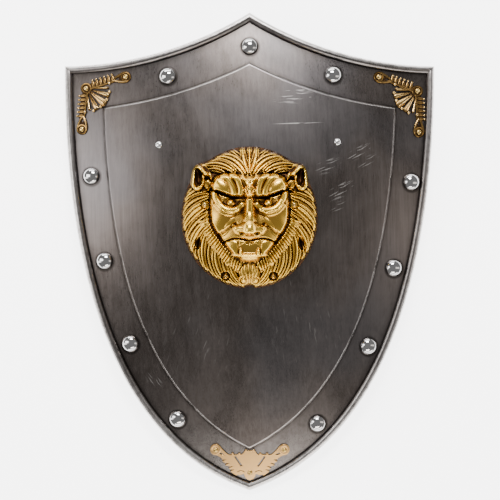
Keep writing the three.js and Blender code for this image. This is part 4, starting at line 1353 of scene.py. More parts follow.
    def cavity(self, x: np.ndarray, y: np.ndarray, cells: int = 440) -> np.ndarray:
        """Finds how deep or proud each place lies against its surroundings.

        Args:
            x: Places along x.
            y: Places along y.
            cells: Cells along each side of the grid that is compared.

        Returns:
            About -1 where deep to 1 where proud, lowered towards the boss's rim as painted shade.
        """
        grid = np.linspace(-99, 99, cells)
        gx, gy = np.meshgrid(grid, grid)
        inside = np.hypot(gx, gy) < self.boss_radius(np.arctan2(gy, gx))
        h = np.where(inside, self.height(gx.ravel(), gy.ravel()).reshape(gx.shape), 4.0)
        step = grid[1] - grid[0]
        fx = np.fft.fftfreq(cells, step)
        kx, ky = np.meshgrid(fx, fx)

        def blurred(sigma: float) -> np.ndarray:
            """The heights, softened over a distance."""
            soft = np.exp(-2 * (math.pi * sigma) ** 2 * (kx**2 + ky**2))
            return np.fft.ifft2(np.fft.fft2(h) * soft).real

        found = (h - blurred(1.2)) / 0.9 * 0.34 + (h - blurred(4.5)) / 5.0 * 0.58 + 0.10
        # Painted shade: the tone falls towards the boss's rim.
        found -= 0.5 * smooth(0.70, 1.0, np.hypot(gx, gy + 6) / 93)
        u, v = (x - grid[0]) / step, (y - grid[0]) / step
        i, j = np.clip(u.astype(int), 0, cells - 2), np.clip(v.astype(int), 0, cells - 2)
        a, b = u - i, v - j
        low = found[j, i] * (1 - a) + found[j, i + 1] * a
        high = found[j + 1, i] * (1 - a) + found[j + 1, i + 1] * a
        return np.clip(low * (1 - b) + high * b, -1, 1)


@dataclass
class LionHead:
    """The cast boss as one fine mesh on a hexagonal net, closed by an underside close over the panel.

    Pocket holds the radii of a screw's pocket at its rim and at its flat floor.
    """

    rings: int = 172
    relief: LionRelief = field(default_factory=LionRelief)
    pocket: tuple[float, float] = (6.2, 4.4)
    clearance: float = 0.25
    underside_share: float = 0.9

    def net(self) -> tuple[np.ndarray, list[list[int]]]:
        """Lays a hexagonal net over the boss's outline.

        Returns:
            The net's points in plan and its triangles.
        """
        angles, shares, first = [np.zeros(1)], [np.zeros(1)], [0]
        total = 1
        for k in range(1, self.rings + 1):
            first.append(total)
            angles.append(np.arange(6 * k) / (6 * k) * 2 * math.pi + math.pi / 2)
            shares.append(np.full(6 * k, k / self.rings))
            total += 6 * k
        angle, share = np.concatenate(angles), np.concatenate(shares)
        r = self.relief.boss_radius(angle) * share
        faces = []
        for k in range(1, self.rings + 1):
            outer, inner = 6 * k, max(6 * (k - 1), 1)
            for sector in range(6):
                i = np.arange(k)
                o, n = sector * k + i, sector * (k - 1) + i
                a, b = first[k] + o, first[k] + (o + 1) % outer
                c = first[k - 1] + n % inner
                faces.append(np.stack([a, b, c], -1))
                d = first[k - 1] + (n + 1) % inner
                faces.append(np.stack([b, d, c], -1)[:-1])
        return np.stack([r * np.cos(angle), r * np.sin(angle)], -1), np.concatenate(faces).tolist()

    def build(self, finish: bpy.types.Material) -> bpy.types.Object:
        """Makes the boss.

        Args:
            finish: Its material.

        Returns:
            The boss.
        """
        plan, faces = self.net()
        x, y = plan.T
        h = self.relief.height(x, y)
        for sx, sy, seat in LION_SCREWS:
            away = np.hypot(np.abs(x) - sx, y - sy)
            h = h + (seat - FORM.gap - h) * smooth(*self.pocket, away)
        scale = self.relief.scale
        wx, wy = x * scale, y * scale + FORM.lion_y
        ground = FORM.panel_z(wx, wy)
        points = np.stack([wx, wy, ground + h * scale], -1)
        rim = np.arange(len(points) - 6 * self.rings, len(points))
        low = np.stack([wx[rim], wy[rim], ground[rim] + self.clearance], -1)
        middle = np.array([0, FORM.lion_y])
        inner = middle + (low[:, :2] - middle) * self.underside_share
        inner_z = FORM.panel_z(*inner.T) + self.clearance
        centre = [[*middle, float(FORM.panel_z(*middle)) + self.clearance]]
        base = len(points)
        points = np.concatenate([points, low, np.column_stack([inner, inner_z]), centre])
        count = len(rim)
        a, b = base + np.arange(count), base + np.roll(np.arange(count), -1)
        c, d = a + count, b + count
        wall = np.stack([rim, a, b, np.roll(rim, -1)], -1).tolist() + np.stack([a, c, d, b], -1).tolist()
        fan = np.stack([c, np.full(count, len(points) - 1), d], -1).tolist()
        cavity = np.concatenate([self.relief.cavity(x, y), np.full(2 * count + 1, -0.8)])
        made = mesh_object("lion_boss", points, faces + wall + fan, finish, {"cavity": cavity}, 75)
        settle(made, ["lion_head"])
        return made


@dataclass
class Stamping:
    """Gathers the raised bars, balls and pads of a stamped fitting in its own flat frame."""

    points: list[np.ndarray] = field(default_factory=list)
    faces: list[list[int]] = field(default_factory=list)
    total: int = 0

    def add(self, points: np.ndarray, faces: Sequence[Sequence[int]]) -> None:
        """Adds a closed shell."""
        self.points.append(np.asarray(points, float))
        self.faces += [[int(i) + self.total for i in face] for face in faces]
        self.total += len(points)

    def ridge(
        self, path: Sequence[Point], halves: Sequence[float], heights: Sequence[float], ground: float = 0.0,
    ) -> None:
        """Adds a bar with a round back along a path.

        Args:
            path: Its middle line.
            halves: Half width at each point.
            heights: Height of its back at each point.
            ground: Height of its flat underside.
        """
        p = np.array(path, float)
        way = np.gradient(p, axis=0)
        way /= np.linalg.norm(way, axis=1)[:, None]
        side = np.stack([way[:, 1], -way[:, 0]], -1)
        turn = np.linspace(0, math.pi, 9)
        rings = []
        for i in range(len(p)):
            plan = p[i] + side[i] * (np.cos(turn) * halves[i])[:, None]
            rings.append(np.column_stack([plan, ground + 0.35 + np.sin(turn) ** 0.8 * heights[i]]))
            rings[-1] = np.concatenate([rings[-1], [[*plan[-1], ground], [*plan[0], ground]]])
        ids, quads = stitched(len(rings), len(rings[0]))
        self.add(np.concatenate(rings), quads + [ids[0].tolist(), ids[-1][::-1].tolist()])

    def turned(self, middle: Point, profile: Sequence[tuple[float, float]], sides: int = 24) -> None:
        """Adds a turned shell.

        Args:
            middle: Place of its axis.
            profile: Radius and height pairs, whose ends are on the axis.
            sides: Count of its sides.
        """
        angle = np.arange(sides) / sides * 2 * math.pi
        x, y = middle
        rings = [
            np.stack([x + r * np.cos(angle), y + r * np.sin(angle), np.full(sides, z)], -1)
            for r, z in profile[1:-1]
        ]
        ends = np.array([[x, y, profile[0][1]], [x, y, profile[-1][1]]])
        ids, quads = stitched(len(rings), sides, len(ends))
        self.add(np.concatenate([ends, *rings]), quads + caps(ids, 0, 1))

    def ball(self, middle: Point, radius: float, lift: float) -> None:
        """Adds a ball that stands on the fitting."""
        t = np.linspace(0, math.pi, 9)
        self.turned(middle, [(radius * math.sin(a), lift + radius * math.cos(a)) for a in t], 14)

    @staticmethod
    def gridded(mesh: bpy.types.Mesh, pitch: float = 6.0) -> None:
        """Cuts a flat mesh along a grid, so that it can bend with the shield.

        Args:
            mesh: The mesh to cut.
            pitch: Distance between two cuts in millimetres.
        """
        cut = bmesh.new()
        cut.from_mesh(mesh)
        for axis, reach in ((0, 54), (1, 36)):
            for place in np.arange(-reach, reach + 1, pitch):
                middle, normal = [0.0, 0.0, 0.0], [0.0, 0.0, 0.0]
                middle[axis], normal[axis] = place * MM, 1.0
                whole = [*cut.verts, *cut.edges, *cut.faces]
                bmesh.ops.bisect_plane(cut, geom=whole, plane_co=middle, plane_no=normal)
        cut.to_mesh(mesh)
        cut.free()

    def sheet(
        self, outline: Sequence[Point], holes: Sequence[Sequence[Point]], thickness: float, round_over: float,
    ) -> None:
        """Adds a flat sheet.

        Args:
            outline: Its outline.
            holes: Outline of each hole.
            thickness: Its thickness.
            round_over: Radius of its softened edges.
        """
        curve = bpy.data.curves.new("blank", "CURVE")
        curve.dimensions, curve.fill_mode = "2D", "BOTH"
        curve.extrude = (thickness / 2 - round_over) * MM
        curve.bevel_depth, curve.bevel_resolution = round_over * MM, 2
        for loop in (outline, *holes):
            spline = curve.splines.new("POLY")
            spline.points.add(len(loop) - 1)
            spline.use_cyclic_u = True
            for point, (u, v) in zip(spline.points, loop):
                point.co = (u * MM, v * MM, 0, 1)
        holder = bpy.data.objects.new("blank", curve)
        bpy.context.scene.collection.objects.link(holder)
        graph = bpy.context.evaluated_depsgraph_get()
        mesh = bpy.data.meshes.new_from_object(holder.evaluated_get(graph))
        self.gridded(mesh)
        points = np.array([v.co for v in mesh.vertices]) / MM + np.array([0, 0, thickness / 2])
        self.add(points, [list(p.vertices) for p in mesh.polygons])
        bpy.data.objects.remove(holder)
        bpy.data.curves.remove(curve)
        bpy.data.meshes.remove(mesh)


class FittingKind(Enum):
    """The corner fittings are fluted, and the tip's is left flat."""

    FLUTED = "fluted"
    FLAT = "flat"


@dataclass
class BrassFitting:
    """A stamped brass fitting, laid on the sheet from its middle pin."""

    name: str
    kind: FittingKind
    pin: Point
    points_to: float
    node: str
    arm: float = 52.7
    arm_angle: float = 34.2
    pad: float = 6.8
    serrations: tuple[tuple[Point, Point], ...] = (
        ((24.6, 1.6), (18.2, 4.2)), ((26.6, 5.6), (20.4, 8.4)),
        ((31.0, 9.8), (24.5, 12.6)), ((34.8, 14.8), (28.5, 16.9)),
    )

    def shade(self) -> tuple[float, float, float]:
        """Middle and radius of the painted shadow on the sheet under the fan."""
        a = math.radians(self.points_to)
        return self.pin[0] + 15 * math.cos(a), self.pin[1] + 15 * math.sin(a), 15.0

    def arm_point(self, along: float, out: float, side: int) -> Point:
        """A point by its distance along an arm and out from it, away from the fan."""
        a = math.radians(self.arm_angle)
        return side * (along * math.cos(a) + out * math.sin(a)), along * math.sin(a) - out * math.cos(a)

    def add_arm(self, made: Stamping, side: int) -> None:
        """Adds one arm: its rail, ribs with beads, a teardrop loop and the end pad.

        Args:
            made: The fitting so far.
            side: -1 for the left arm and 1 for the right one.
        """
        def at(along: float, out: float) -> Point:
            """A point of this arm."""
            return self.arm_point(along, out, side)

        band = [
            (4, -2.6), (36, -2.4), (41, -3.6), (46, -4.6), (50, -4.6), (50, 4.6), (46, 4.8), (41, 4.4),
            (36, 5.4), (9, 5.4), (5, 3.4),
        ]
        drop = [(38.5, 0.4), (41.5, 1.7), (44, 0.9), (44, -0.5), (41.5, -1.1)]
        made.sheet([at(*place) for place in band], [[at(*place) for place in drop]], 0.9, 0.2)
        made.ridge([at(6, -2.2), at(20, -1.9), at(37, -1.4)], [1.3, 1.3, 1.2], [1.3, 1.4, 1.2], 0.3)
        for k in range(6):
            along = 9.5 + k * 5.2
            rib = [at(along, -0.6), at(along + 0.4, 3), at(along + 0.8, 6.6)]
            made.ridge(rib, [1.75, 2.0, 1.4], [1.0, 1.35, 1.0], 0.4)
            made.ball(at(along + 1.0, 7.6), 1.5, 1.3)
        for bend in (-1, 1):
            loop = [(36, 0.4), (40, bend * 2.6 + 0.3), (45, bend * 4.6), (49, bend * 5.6), (52.7, bend * 6.0)]
            wire = rounded([at(*place) for place in loop], 4)
            made.ridge(wire, [1.5] * len(wire), [1.5] * len(wire), 0.3)
        pad = [
            (0, 0), (self.pad, 0), (self.pad + 0.2, 0.9), (self.pad - 0.7, 2.0),
            (5.2, 1.9), (4.4, 1.1), (0, 1.0),
        ]
        made.turned(at(self.arm, 0), pad, 32)

    def fan(self, made: Stamping) -> None:
        """Adds five flutes with beads between their ends.

        Args:
            made: The fitting so far.
        """
        flutes = ((-41, 29, 2.3), (-22, 31.5, 3.7), (0, 33, 5.2), (22, 31.5, 3.7), (41, 29, 2.3))
        for turn, length, half in flutes:
            a = math.radians(90 + turn)
            r = np.array([5, 10, 16, 22, 27, length - 2, length])
            path = [(d * math.cos(a), d * math.sin(a)) for d in r]
            width = half * np.array([0.25, 0.34, 0.50, 0.70, 0.86, 0.9, 0.45])
            height = np.array([0.5, 0.9, 1.5, 2.0, 2.3, 2.1, 1.0])
            made.ridge(path, width, height, 0.2)
            if half > 3:
                for offset in (-0.42, 0.42):
                    shift = np.array([-math.sin(a), math.cos(a)]) * offset
                    rail = [tuple(np.array(p) + shift * w) for p, w in zip(path[1:6], width[1:6])]
                    made.ridge(rail, width[1:6] * 0.2, height[1:6] + 0.5, 0.3)
        for turn in (-52, -31, -11.5, 11.5, 31, 52):
            a = math.radians(90 + turn)
            made.ball((30.5 * math.cos(a), 30.5 * math.sin(a)), 2.1, 1.4)

    def hub(self, made: Stamping) -> None:
        """Adds the round pad under the middle pin."""
        made.turned((0, 0), [(0, 0), (7.2, 0), (7.4, 0.9), (6.6, 1.9), (5.4, 1.8), (4.6, 1.2), (0, 1.1)], 32)

    def flat(self, made: Stamping) -> None:
        """Adds the flat blank: a broad fan, serrated arms, slits, crescents and a lobe.

        Args:
            made: The fitting so far.
        """
        half = [
            (3.8, -8.2), (6.4, -4.8), (7.2, -1.2), (9.5, -1.8), (12.5, -3.0), (15.5, -2.4), (17.7, -3.6),
            (20.2, -2.0),
        ]
        for tip, root in self.serrations:
            half += [tip, root, (tip[0] + 0.6, tip[1] + 2.9)]
        half += [(36.5, 19.6), (40, 21.5)]
        end = self.arm_point(self.arm, 0, 1)
        for degrees in np.linspace(-95, 140, 13):
            a = math.radians(degrees)
            half.append((end[0] + self.pad * math.cos(a), end[1] + self.pad * math.sin(a)))
        half += [
            (33.5, 28.0), (27.5, 22.8), (24.9, 22.3), (22, 23.3), (19.5, 22.4), (15.5, 23.2), (11, 22.8),
            (8.5, 24.6), (7, 27.2), (3, 27.9),
        ]
        outline = [(0, -9.6), *half, (0, 27.6), *[(-u, v) for u, v in half[::-1]]]
        slit = ((20.4, 20.6), (17.8, 22.0), (9.0, 8.9), (11.4, 7.4))
        lobe = ((39.2, 26.8), (39.8, 25.0), (36, 22.6), (31, 22.2), (34.5, 25.2))
        turns = np.linspace(0.15, 3.0, 9)
        crescent = [(11.3 + 5.4 * math.cos(turn), 0.2 + 2.9 * math.sin(turn)) for turn in turns]
        crescent += [(11.3 + 4.2 * math.cos(turn), 1.5 * math.sin(turn)) for turn in turns[::-1]]
        holes = [[(side * u, v) for u, v in hole] for side in (-1, 1) for hole in (slit, lobe, crescent)]
        made.sheet(outline, holes, 1.5, 0.35)
        for u, v in ((-22, 24.2), (-13.4, 24.2), (13.4, 24.2), (22, 24.2), (-5, 28.6), (5, 28.6)):
            made.ball((u, v), 1.5, 0.9)
        pad = [(0, 1.3), (6.2, 1.3), (6.3, 1.75), (5.4, 1.9), (4.6, 1.7), (0, 1.6)]
        for side in (-1, 1):
            made.turned((side * end[0], end[1]), pad, 32)

    def build(self, finish: bpy.types.Material) -> bpy.types.Object:
        """Makes the fitting, bent to the sheet.

        Args:
            finish: Its material.

        Returns:
            The fitting.
        """
        made = Stamping()
        if self.kind is FittingKind.FLUTED:
            for side in (-1, 1):
                self.add_arm(made, side)
            self.fan(made)
            self.hub(made)
        else:
            self.flat(made)
        local = np.concatenate(made.points)
        a = math.radians(self.points_to - 90)
        x = self.pin[0] + local[:, 0] * math.cos(a) - local[:, 1] * math.sin(a)
        y = self.pin[1] + local[:, 0] * math.sin(a) + local[:, 1] * math.cos(a)
        ground = FORM.sheet_z(x, y) + FORM.sheet / 2 + FORM.gap + FORM.panel_lift(x, y)
        lean_x, lean_y = FORM.slope(x, y)
        rise = local[:, 2]
        points = np.stack([x + lean_x * rise, y + lean_y * rise, ground + rise], -1)
        low, high = (0.7, 2.9) if self.kind is FittingKind.FLUTED else (0.2, 1.2)
        cavity = smooth(low, high, rise) * 1.3 - 0.75
        bend = 28 if self.kind is FittingKind.FLUTED else 12
        piece = mesh_object(self.name, points, made.faces, finish, {"cavity": cavity}, bend)
        settle(piece, [self.node])
        return piece


def rivet_row_group() -> bpy.types.NodeTree:
    """Makes the geometry nodes that set a head on every point, along the point's own axis.

    Returns:
        The node group.
    """
    group = bpy.data.node_groups.new("RivetRow", "GeometryNodeTree")
    face = group.interface
    face.new_socket("Geometry", in_out="INPUT", socket_type="NodeSocketGeometry")
    face.new_socket("Head", in_out="INPUT", socket_type="NodeSocketObject")
    face.new_socket("Material", in_out="INPUT", socket_type="NodeSocketMaterial")
    face.new_socket("Size", in_out="INPUT", socket_type="NodeSocketFloat").default_value = 1.0
    face.new_socket("Spin", in_out="INPUT", socket_type="NodeSocketFloat").default_value = 3.1
    face.new_socket("Seed", in_out="INPUT", socket_type="NodeSocketInt").default_value = 7
    face.new_socket("Geometry", in_out="OUTPUT", socket_type="NodeSocketGeometry")
    kit = NodeKit(group)
    given, out = kit.node("NodeGroupInput"), kit.node("NodeGroupOutput")
    head = kit.node("GeometryNodeObjectInfo", {"Object": given.outputs["Head"]})
    axis = kit.node("GeometryNodeInputNamedAttribute", {"Name": "axis"}, data_type="FLOAT_VECTOR")
    along = kit.node("FunctionNodeAlignRotationToVector", {"Vector": axis.outputs[0]}, axis="Z")
    limits = {"Max": given.outputs["Spin"], "Seed": given.outputs["Seed"]}
    chance = kit.node("FunctionNodeRandomValue", limits)
    spin = kit.node("FunctionNodeAxisAngleToRotation", {"Axis": (0, 0, 1), "Angle": chance.outputs[1]})
    turns = {0: along.outputs[0], 1: spin.outputs[0]}
    turned = kit.node("FunctionNodeRotateRotation", turns, rotation_space="LOCAL")
    setting = {
        "Points": given.outputs["Geometry"], "Instance": head.outputs["Geometry"],
        "Rotation": turned.outputs[0], "Scale": given.outputs["Size"],
    }
    put = kit.node("GeometryNodeInstanceOnPoints", setting)
    real = kit.node("GeometryNodeRealizeInstances", {0: put.outputs[0]})
    dress = {"Geometry": real.outputs[0], "Material": given.outputs["Material"]}
    dressed = kit.node("GeometryNodeSetMaterial", dress)
    group.links.new(dressed.outputs[0], out.inputs[0])
    return group


@dataclass(frozen=True)
class RivetPlace:
    """Where a rivet's head sits, its axis and the node that it stands for."""

    node: str
    seat: tuple[float, float, float]
    axis: tuple[float, float, float]


@dataclass(frozen=True)
class RivetHead:
    """A turned head with its shank and hammered tail. A dimple is sunk in the crown if it has a depth."""

    radius: float
    height: float
    shank: float
    grip: float
    tail: float
    tail_height: float
    dimple: float = 0.0
    dimple_radius: float = 1.0

    def profile(self) -> list[tuple[float, float]]:
        """Draws the turned profile.

        Returns:
            Radius and height pairs, from the crown to the tail's end.
        """
        pairs = []
        for t in np.linspace(0, math.pi / 2, 15)[1:]:
            r = self.radius * math.sin(t)
            z = self.height * math.cos(t) ** 0.92
            z -= self.dimple * math.exp(-((r / self.dimple_radius) ** 4))
            pairs.append((r, z))
        lower = [(self.shank, 0), (self.shank, -self.grip), (self.tail, -self.grip)]
        end = -self.grip - self.tail_height
        lower += [(self.tail * 0.93, -self.grip - self.tail_height * 0.6), (self.tail * 0.6, end)]
        return [(0, self.height - self.dimple), *pairs, *lower, (0, end)]

    def mesh(self, name: str, finish: bpy.types.Material, sides: int = 40) -> bpy.types.Object:
        """Makes the head as an object at the origin."""
        made = Stamping()
        made.turned((0, 0), self.profile(), sides)
        return mesh_object(name, np.concatenate(made.points), made.faces, finish, None, 50)


@dataclass
class RivetRow:
    """Rivets of one kind, set on their places by geometry nodes and kept as one plain mesh."""

    name: str
    head: RivetHead
    places: Sequence[RivetPlace]
    slot: Slot
    seed: int = 7

    def build(self, nodes: bpy.types.NodeTree, finish: bpy.types.Material) -> bpy.types.Object:
        """Sets the heads.

        Args:
            nodes: The geometry node group.
            finish: Material of every head.

        Returns:
            The finished row.
        """
        head = self.head.mesh(f"{self.name}_head", finish)
        mesh = bpy.data.meshes.new(f"{self.name}_points")
        mesh.from_pydata([np.array(p.seat) * MM for p in self.places], [], [])
        axis = mesh.attributes.new("axis", "FLOAT_VECTOR", "POINT")
        axis.data.foreach_set("vector", np.array([p.axis for p in self.places], np.float32).ravel())
        points = bpy.data.objects.new(f"{self.name}_points", mesh)
        bpy.context.scene.collection.objects.link(points)
        modifier = points.modifiers.new("rivets", "NODES")
        modifier.node_group = nodes
        values = {"Head": head, "Material": finish, "Size": 1.0, "Spin": 3.1, "Seed": self.seed}
        for item in nodes.interface.items_tree:
            if item.in_out == "INPUT" and item.name in values:
                modifier[item.identifier] = values[item.name]
        graph = bpy.context.evaluated_depsgraph_get()
        plain = bpy.data.meshes.new_from_object(points.evaluated_get(graph))
        plain.name = self.name
        row = bpy.data.objects.new(self.name, plain)
        bpy.context.scene.collection.objects.link(row)
        plain.shade_smooth()
        plain.set_sharp_from_angle(angle=math.radians(50))
        if not plain.materials:
            plain.materials.append(finish)
        for spare in (points, head):
            bpy.data.objects.remove(spare)
        settle(row, [p.node for p in self.places])
        return row


def place_on_sheet(node: str, x: float, y: float, lift: float, raised: bool = False) -> RivetPlace:
    """Finds a rivet's place on the front of the sheet.

    Args:
        node: Node that the rivet stands for.
        x: Its place along x.
        y: Its place along y.
        lift: How far its seat lies over the sheet, along the normal.
        raised: Whether it is on the raised panel.

    Returns:
        The place.
    """
    normal = FORM.normal(x, y)
    z = float(FORM.sheet_z(x, y)) + FORM.sheet / 2 + (FORM.panel_raise if raised else 0)
    seat = np.array([x, y, z]) + normal * lift
    return RivetPlace(node, tuple(seat), tuple(normal))


@dataclass
class Hardware:
    """Every rivet, pin and screw of the shield."""

    left: tuple[Point, ...] = ((0.185, 0.47), (0.37, 0.45), (0.565, 0.42), (0.78, 0.4))
    right: tuple[Point, ...] = ((0.2, 0.33), (0.385, 0.42), (0.57, 0.4), (0.795, 0.4))
    dome: RivetHead = RivetHead(11.2, 8.4, 2.5, 2.2, 4.5, 2)

    def dome_places(self) -> list[RivetPlace]:
        """Places the domed rivets round the border.

        Returns:
            Their places.
        """
        found = [
            ("rivet_peak", 1, "arc", 0, 0.62),
            ("rivet_top_left", -1, "arc", 0.52, 0.5),
            ("rivet_top_right", 1, "arc", 0.525, 0.45),
        ]
        for half, sign, row in (("left", -1, self.left), ("right", 1, self.right)):
            found += [(f"rivet_{half}_{i + 1}", sign, "side", *at) for i, at in enumerate(row)]
        places = []
        for node, sign, kind, along, across in found:
            x, y = FORM.border_point(kind, along, across)
            places.append(place_on_sheet(node, sign * x, y, 0.1))
        return places

    def pin_places(self, fittings: Sequence[BrassFitting]) -> list[RivetPlace]:
        """Places the pins of every fitting.

        Args:
            fittings: The fittings.

        Returns:
            Their places, each fitting's middle first.
        """
        places = []
        for fitting in fittings:
            label = fitting.node.split("_")[-1]
            a = math.radians(fitting.points_to - 90)
            local = [(0.0, 0.0), fitting.arm_point(fitting.arm, 0, 1), fitting.arm_point(fitting.arm, 0, -1)]
            for i, (u, v) in enumerate(local):
                x = fitting.pin[0] + u * math.cos(a) - v * math.sin(a)
                y = fitting.pin[1] + u * math.sin(a) + v * math.cos(a)
                lift = FORM.gap + (1.15 if fitting.kind is FittingKind.FLUTED else 1.65)
                places.append(place_on_sheet(f"pin_{label}_{i + 1}", x, y, lift))
        return places

    def screw_places(self, relief: LionRelief) -> list[RivetPlace]:
        """Places the screws of the lion's head.

        Args:
            relief: The head's relief.

        Returns:
            Their places, the upper two first.
        """
        places = []
        mirrored = [(side * x, y, seat) for x, y, seat in LION_SCREWS for side in (-1, 1)]
        for i, (x, y, seat) in enumerate(mirrored):
            wx, wy = x * relief.scale, y * relief.scale + FORM.lion_y
            z = float(FORM.panel_z(wx, wy)) + seat
            places.append(RivetPlace(f"lion_screw_{i + 1}", (wx, wy, z), (0, 0, 1)))
        return places

    def build(self, finishes: Finishes, fittings: Sequence[BrassFitting], relief: LionRelief) -> None:
        """Makes all rows.

        Args:
            finishes: The finishes.
            fittings: The brass fittings.
            relief: The lion's relief.
        """
        nodes = rivet_row_group()
        grip = FORM.sheet + 3 * FORM.gap
        RivetRow("dome_rivets", self.dome, self.dome_places(), Slot.CHROME).build(nodes, finishes.chrome)
        pins = RivetHead(3.4, 2.1, 1.2, grip + 2, 2.2, 1.2, 0.9, 1.1)
        RivetRow("fitting_pins", pins, self.pin_places(fittings), Slot.PIN, 11).build(nodes, finishes.pin)
        small = RivetHead(4.3, 2.5, 2, grip + 3, 3.6, 1.4)
        places = [
            place_on_sheet(f"handle_rivet_{label}", x, FORM.peak_y - drop, 0.1, True)
            for label, (x, drop) in zip(("left", "right"), HANDLE_RIVETS)
        ]
        RivetRow("handle_rivets", small, places, Slot.SMALL_RIVET, 3).build(nodes, finishes.small)
        screws = self.screw_places(relief)
        pairs = {"lion_screws_upper": screws[:2], "lion_screws_lower": screws[2:]}
        for (name, pair), (_, _, seat) in zip(pairs.items(), LION_SCREWS):
            screw = RivetHead(3.5, 2.4, 1.5, seat + grip, 2.8, 1.4, 0.9, 1.2)
            RivetRow(name, screw, pair, Slot.PIN, 5).build(nodes, finishes.pin)


@dataclass
class StrapHandle:
    """The strap behind: it follows the sheet, stands off in the middle, and is riveted at its feet."""

    width: float = 25
    thickness: float = 2.5
    foot: float = 16
    bow: float = 30
    rise: float = 34
    overhang: float = 12
    rounding: float = 0.7

    def build(self, finish: bpy.types.Material) -> bpy.types.Object:
        """Makes the strap.

        Args:
            finish: Its material.

        Returns:
            The strap.
        """
        a, b = (np.array([x, FORM.peak_y - drop]) for x, drop in HANDLE_RIVETS)
        half = np.linalg.norm(b - a) / 2
        way, middle = (b - a) / (2 * half), (a + b) / 2
        side = np.array([-way[1], way[0]])
        w, t, r = self.width / 2, self.thickness, self.rounding
        corner = np.linspace(0, math.pi / 2, 4)
        section = []
        for cx, cz, start in ((w - r, -r, 0), (-w + r, -r, 90), (-w + r, -t + r, 180), (w - r, -t + r, 270)):
            turns = corner + math.radians(start)
            section += [(cx + r * math.cos(turn), cz + r * math.sin(turn)) for turn in turns]
        rings = []
        flat = half - self.foot
        for along in np.linspace(-half - self.overhang, half + self.overhang, 90):
            drop = self.bow * (1 - float(smooth(flat - self.rise, flat, abs(along))))
            ring = []
            for across, z in section:
                x, y = middle + way * along + side * across
                under = float(FORM.sheet_z(x, y)) + FORM.panel_raise - FORM.sheet / 2 - FORM.gap
                ring.append((x, y, under - drop + z))
            rings.append(ring)
        count = len(section)
        ids, quads = stitched(len(rings), count)
        faces = quads + [ids[0].tolist(), ids[-1][::-1].tolist()]
        points = np.array(rings).reshape(-1, 3)
        edge = np.tile([0.9 if i % 4 in (1, 2) else 0.3 for i in range(count)], len(rings))
        attributes = {"wear": edge, "grime": np.zeros(len(points))}
        made = mesh_object("strap_handle", points, faces, finish, attributes, 50)
        settle(made, ["back_handle"])
        return made


@dataclass(frozen=True)
class SoftLight:
    """One soft light: where it stands, its size and its power."""

    name: str
    place: tuple[float, float, float]
    size: tuple[float, float]
    watts: float
    colour: Colour = (1, 1, 1)


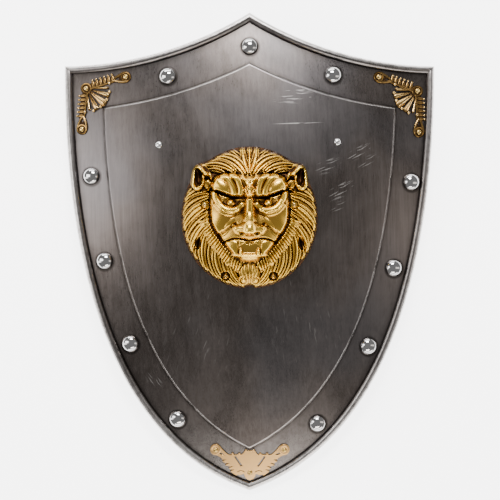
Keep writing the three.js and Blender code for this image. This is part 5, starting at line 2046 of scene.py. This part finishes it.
@dataclass
class Studio:
    """Pale floor, soft lights and the camera straight above the shield."""

    distance: float = 6.0
    frame_mm: float = 640.75
    middle: Point = (0.64, 2.57)
    lights: tuple[SoftLight, ...] = (
        SoftLight("top_softbox", (0.1, 2.25, 2.60), (1.3, 0.6), 138),
        SoftLight("left_softbox", (-2.6, 0.4, 2.35), (1.1, 2.0), 46, (1.0, 0.99, 0.98)),
        SoftLight("right_softbox", (2.9, -0.2, 2.10), (0.9, 2.4), 12, (1.0, 0.93, 0.86)),
        SoftLight("front_softbox", (0.4, -2.9, 2.40), (2.0, 0.6), 42, (1.0, 0.95, 0.89)),
        SoftLight("far_low_light", (-0.6, 4.2, 1.50), (4.0, 1.2), 150),
        SoftLight("left_low_light", (-4.4, -0.8, 1.05), (1.0, 5.0), 60, (1.0, 0.98, 0.96)),
        SoftLight("near_low_light", (0.8, -4.2, 1.25), (6.0, 1.3), 134, (1.0, 0.97, 0.93)),
    )
    sky: float = 0.35
    floor_reach: float = 9e3
    floor_drop: float = 0.05

    def build(self) -> None:
        """Makes the floor, the lights, the sky and the camera."""
        corners = np.array([(-1, -1), (1, -1), (1, 1), (-1, 1)]) * self.floor_reach
        points = np.column_stack([corners, np.full(len(corners), -self.floor_drop)])
        floor = mesh_object("floor", points, [[0, 1, 2, 3]], self.floor_material())
        for light in self.lights:
            data = bpy.data.lights.new(light.name, "AREA")
            data.shape, data.size, data.size_y = "RECTANGLE", *light.size
            data.energy, data.color = light.watts, light.colour
            made = bpy.data.objects.new(light.name, data)
            made.location = light.place
            aim = Vector((0, 0, 0.05)) - Vector(light.place)
            made.rotation_euler = aim.to_track_quat("-Z", "Y").to_euler()
            bpy.context.scene.collection.objects.link(made)
        world = bpy.data.worlds.new("studio")
        world.use_nodes = True
        back = world.node_tree.nodes["Background"]
        back.inputs["Color"].default_value = (1, 1, 1, 1)
        back.inputs["Strength"].default_value = self.sky
        bpy.context.scene.world = world
        self.camera()

    @staticmethod
    def floor_material() -> bpy.types.Material:
        """Makes the floor's plain white, which gives off a little light.

        Returns:
            The material.
        """
        made, kit, place = blank_material("floor_white")
        faint = kit.span(kit.noise(place, 3, 2), 0.3, 0.7, 0.93, 0.95)
        tone = kit.node("ShaderNodeCombineColor", {0: faint, 1: faint, 2: faint}).outputs[0]
        glow = {"Emission Color": (1, 1, 1, 1), "Emission Strength": 4.4}
        principled(kit, {"Base Color": tone, "Roughness": 0.8, **glow})
        return made

    def camera(self) -> None:
        """Looks straight down at the shield's middle, from far enough to show it nearly flat."""
        data = bpy.data.cameras.new("camera")
        data.sensor_width = 36
        data.lens = 36 * self.distance / (self.frame_mm * MM)
        data.clip_end = 50
        made = bpy.data.objects.new("camera", data)
        made.location = (self.middle[0] * MM, self.middle[1] * MM, self.distance)
        bpy.context.scene.collection.objects.link(made)
        bpy.context.scene.camera = made


def fittings() -> list[BrassFitting]:
    """Places the three brass fittings from their corners of the outline.

    Returns:
        The left, the right and the tip's fitting.
    """
    x, y = FORM.half_width, FORM.corner_y
    left, right, tip = (28.2 - x, y - 28.8), (x - 22.1, y - 32.1), (0.5, FORM.tip_y + 23.3)
    return [
        BrassFitting("fitting_left_piece", FittingKind.FLUTED, left, -40.1, "fitting_left"),
        BrassFitting("fitting_right_piece", FittingKind.FLUTED, right, -143.8, "fitting_right"),
        BrassFitting("fitting_tip_piece", FittingKind.FLAT, tip, 90, "fitting_tip"),
    ]


def main() -> None:
    """Builds every sub-assembly in order."""
    logging.basicConfig(level=logging.INFO, format="%(name)s: %(message)s")
    hardware = Hardware()
    brass = fittings()
    # Places of the painted contact shadows: each domed rivet's foot, and the sheet under each fluted
    # fitting's fan.
    feet = [(*place.seat[:2], hardware.dome.radius) for place in hardware.dome_places()]
    feet += [fitting.shade() for fitting in brass if fitting.kind is FittingKind.FLUTED]
    finishes = Finishes(feet)
    SteelPlate().build(finishes.steel)
    lion = LionHead()
    lion.build(finishes.gold)
    for fitting in brass:
        fitting.build(finishes.tip_brass if fitting.kind is FittingKind.FLAT else finishes.brass)
    hardware.build(finishes, brass, lion.relief)
    StrapHandle().build(finishes.strap)
    Studio().build()


if __name__ == "__main__":
    main()
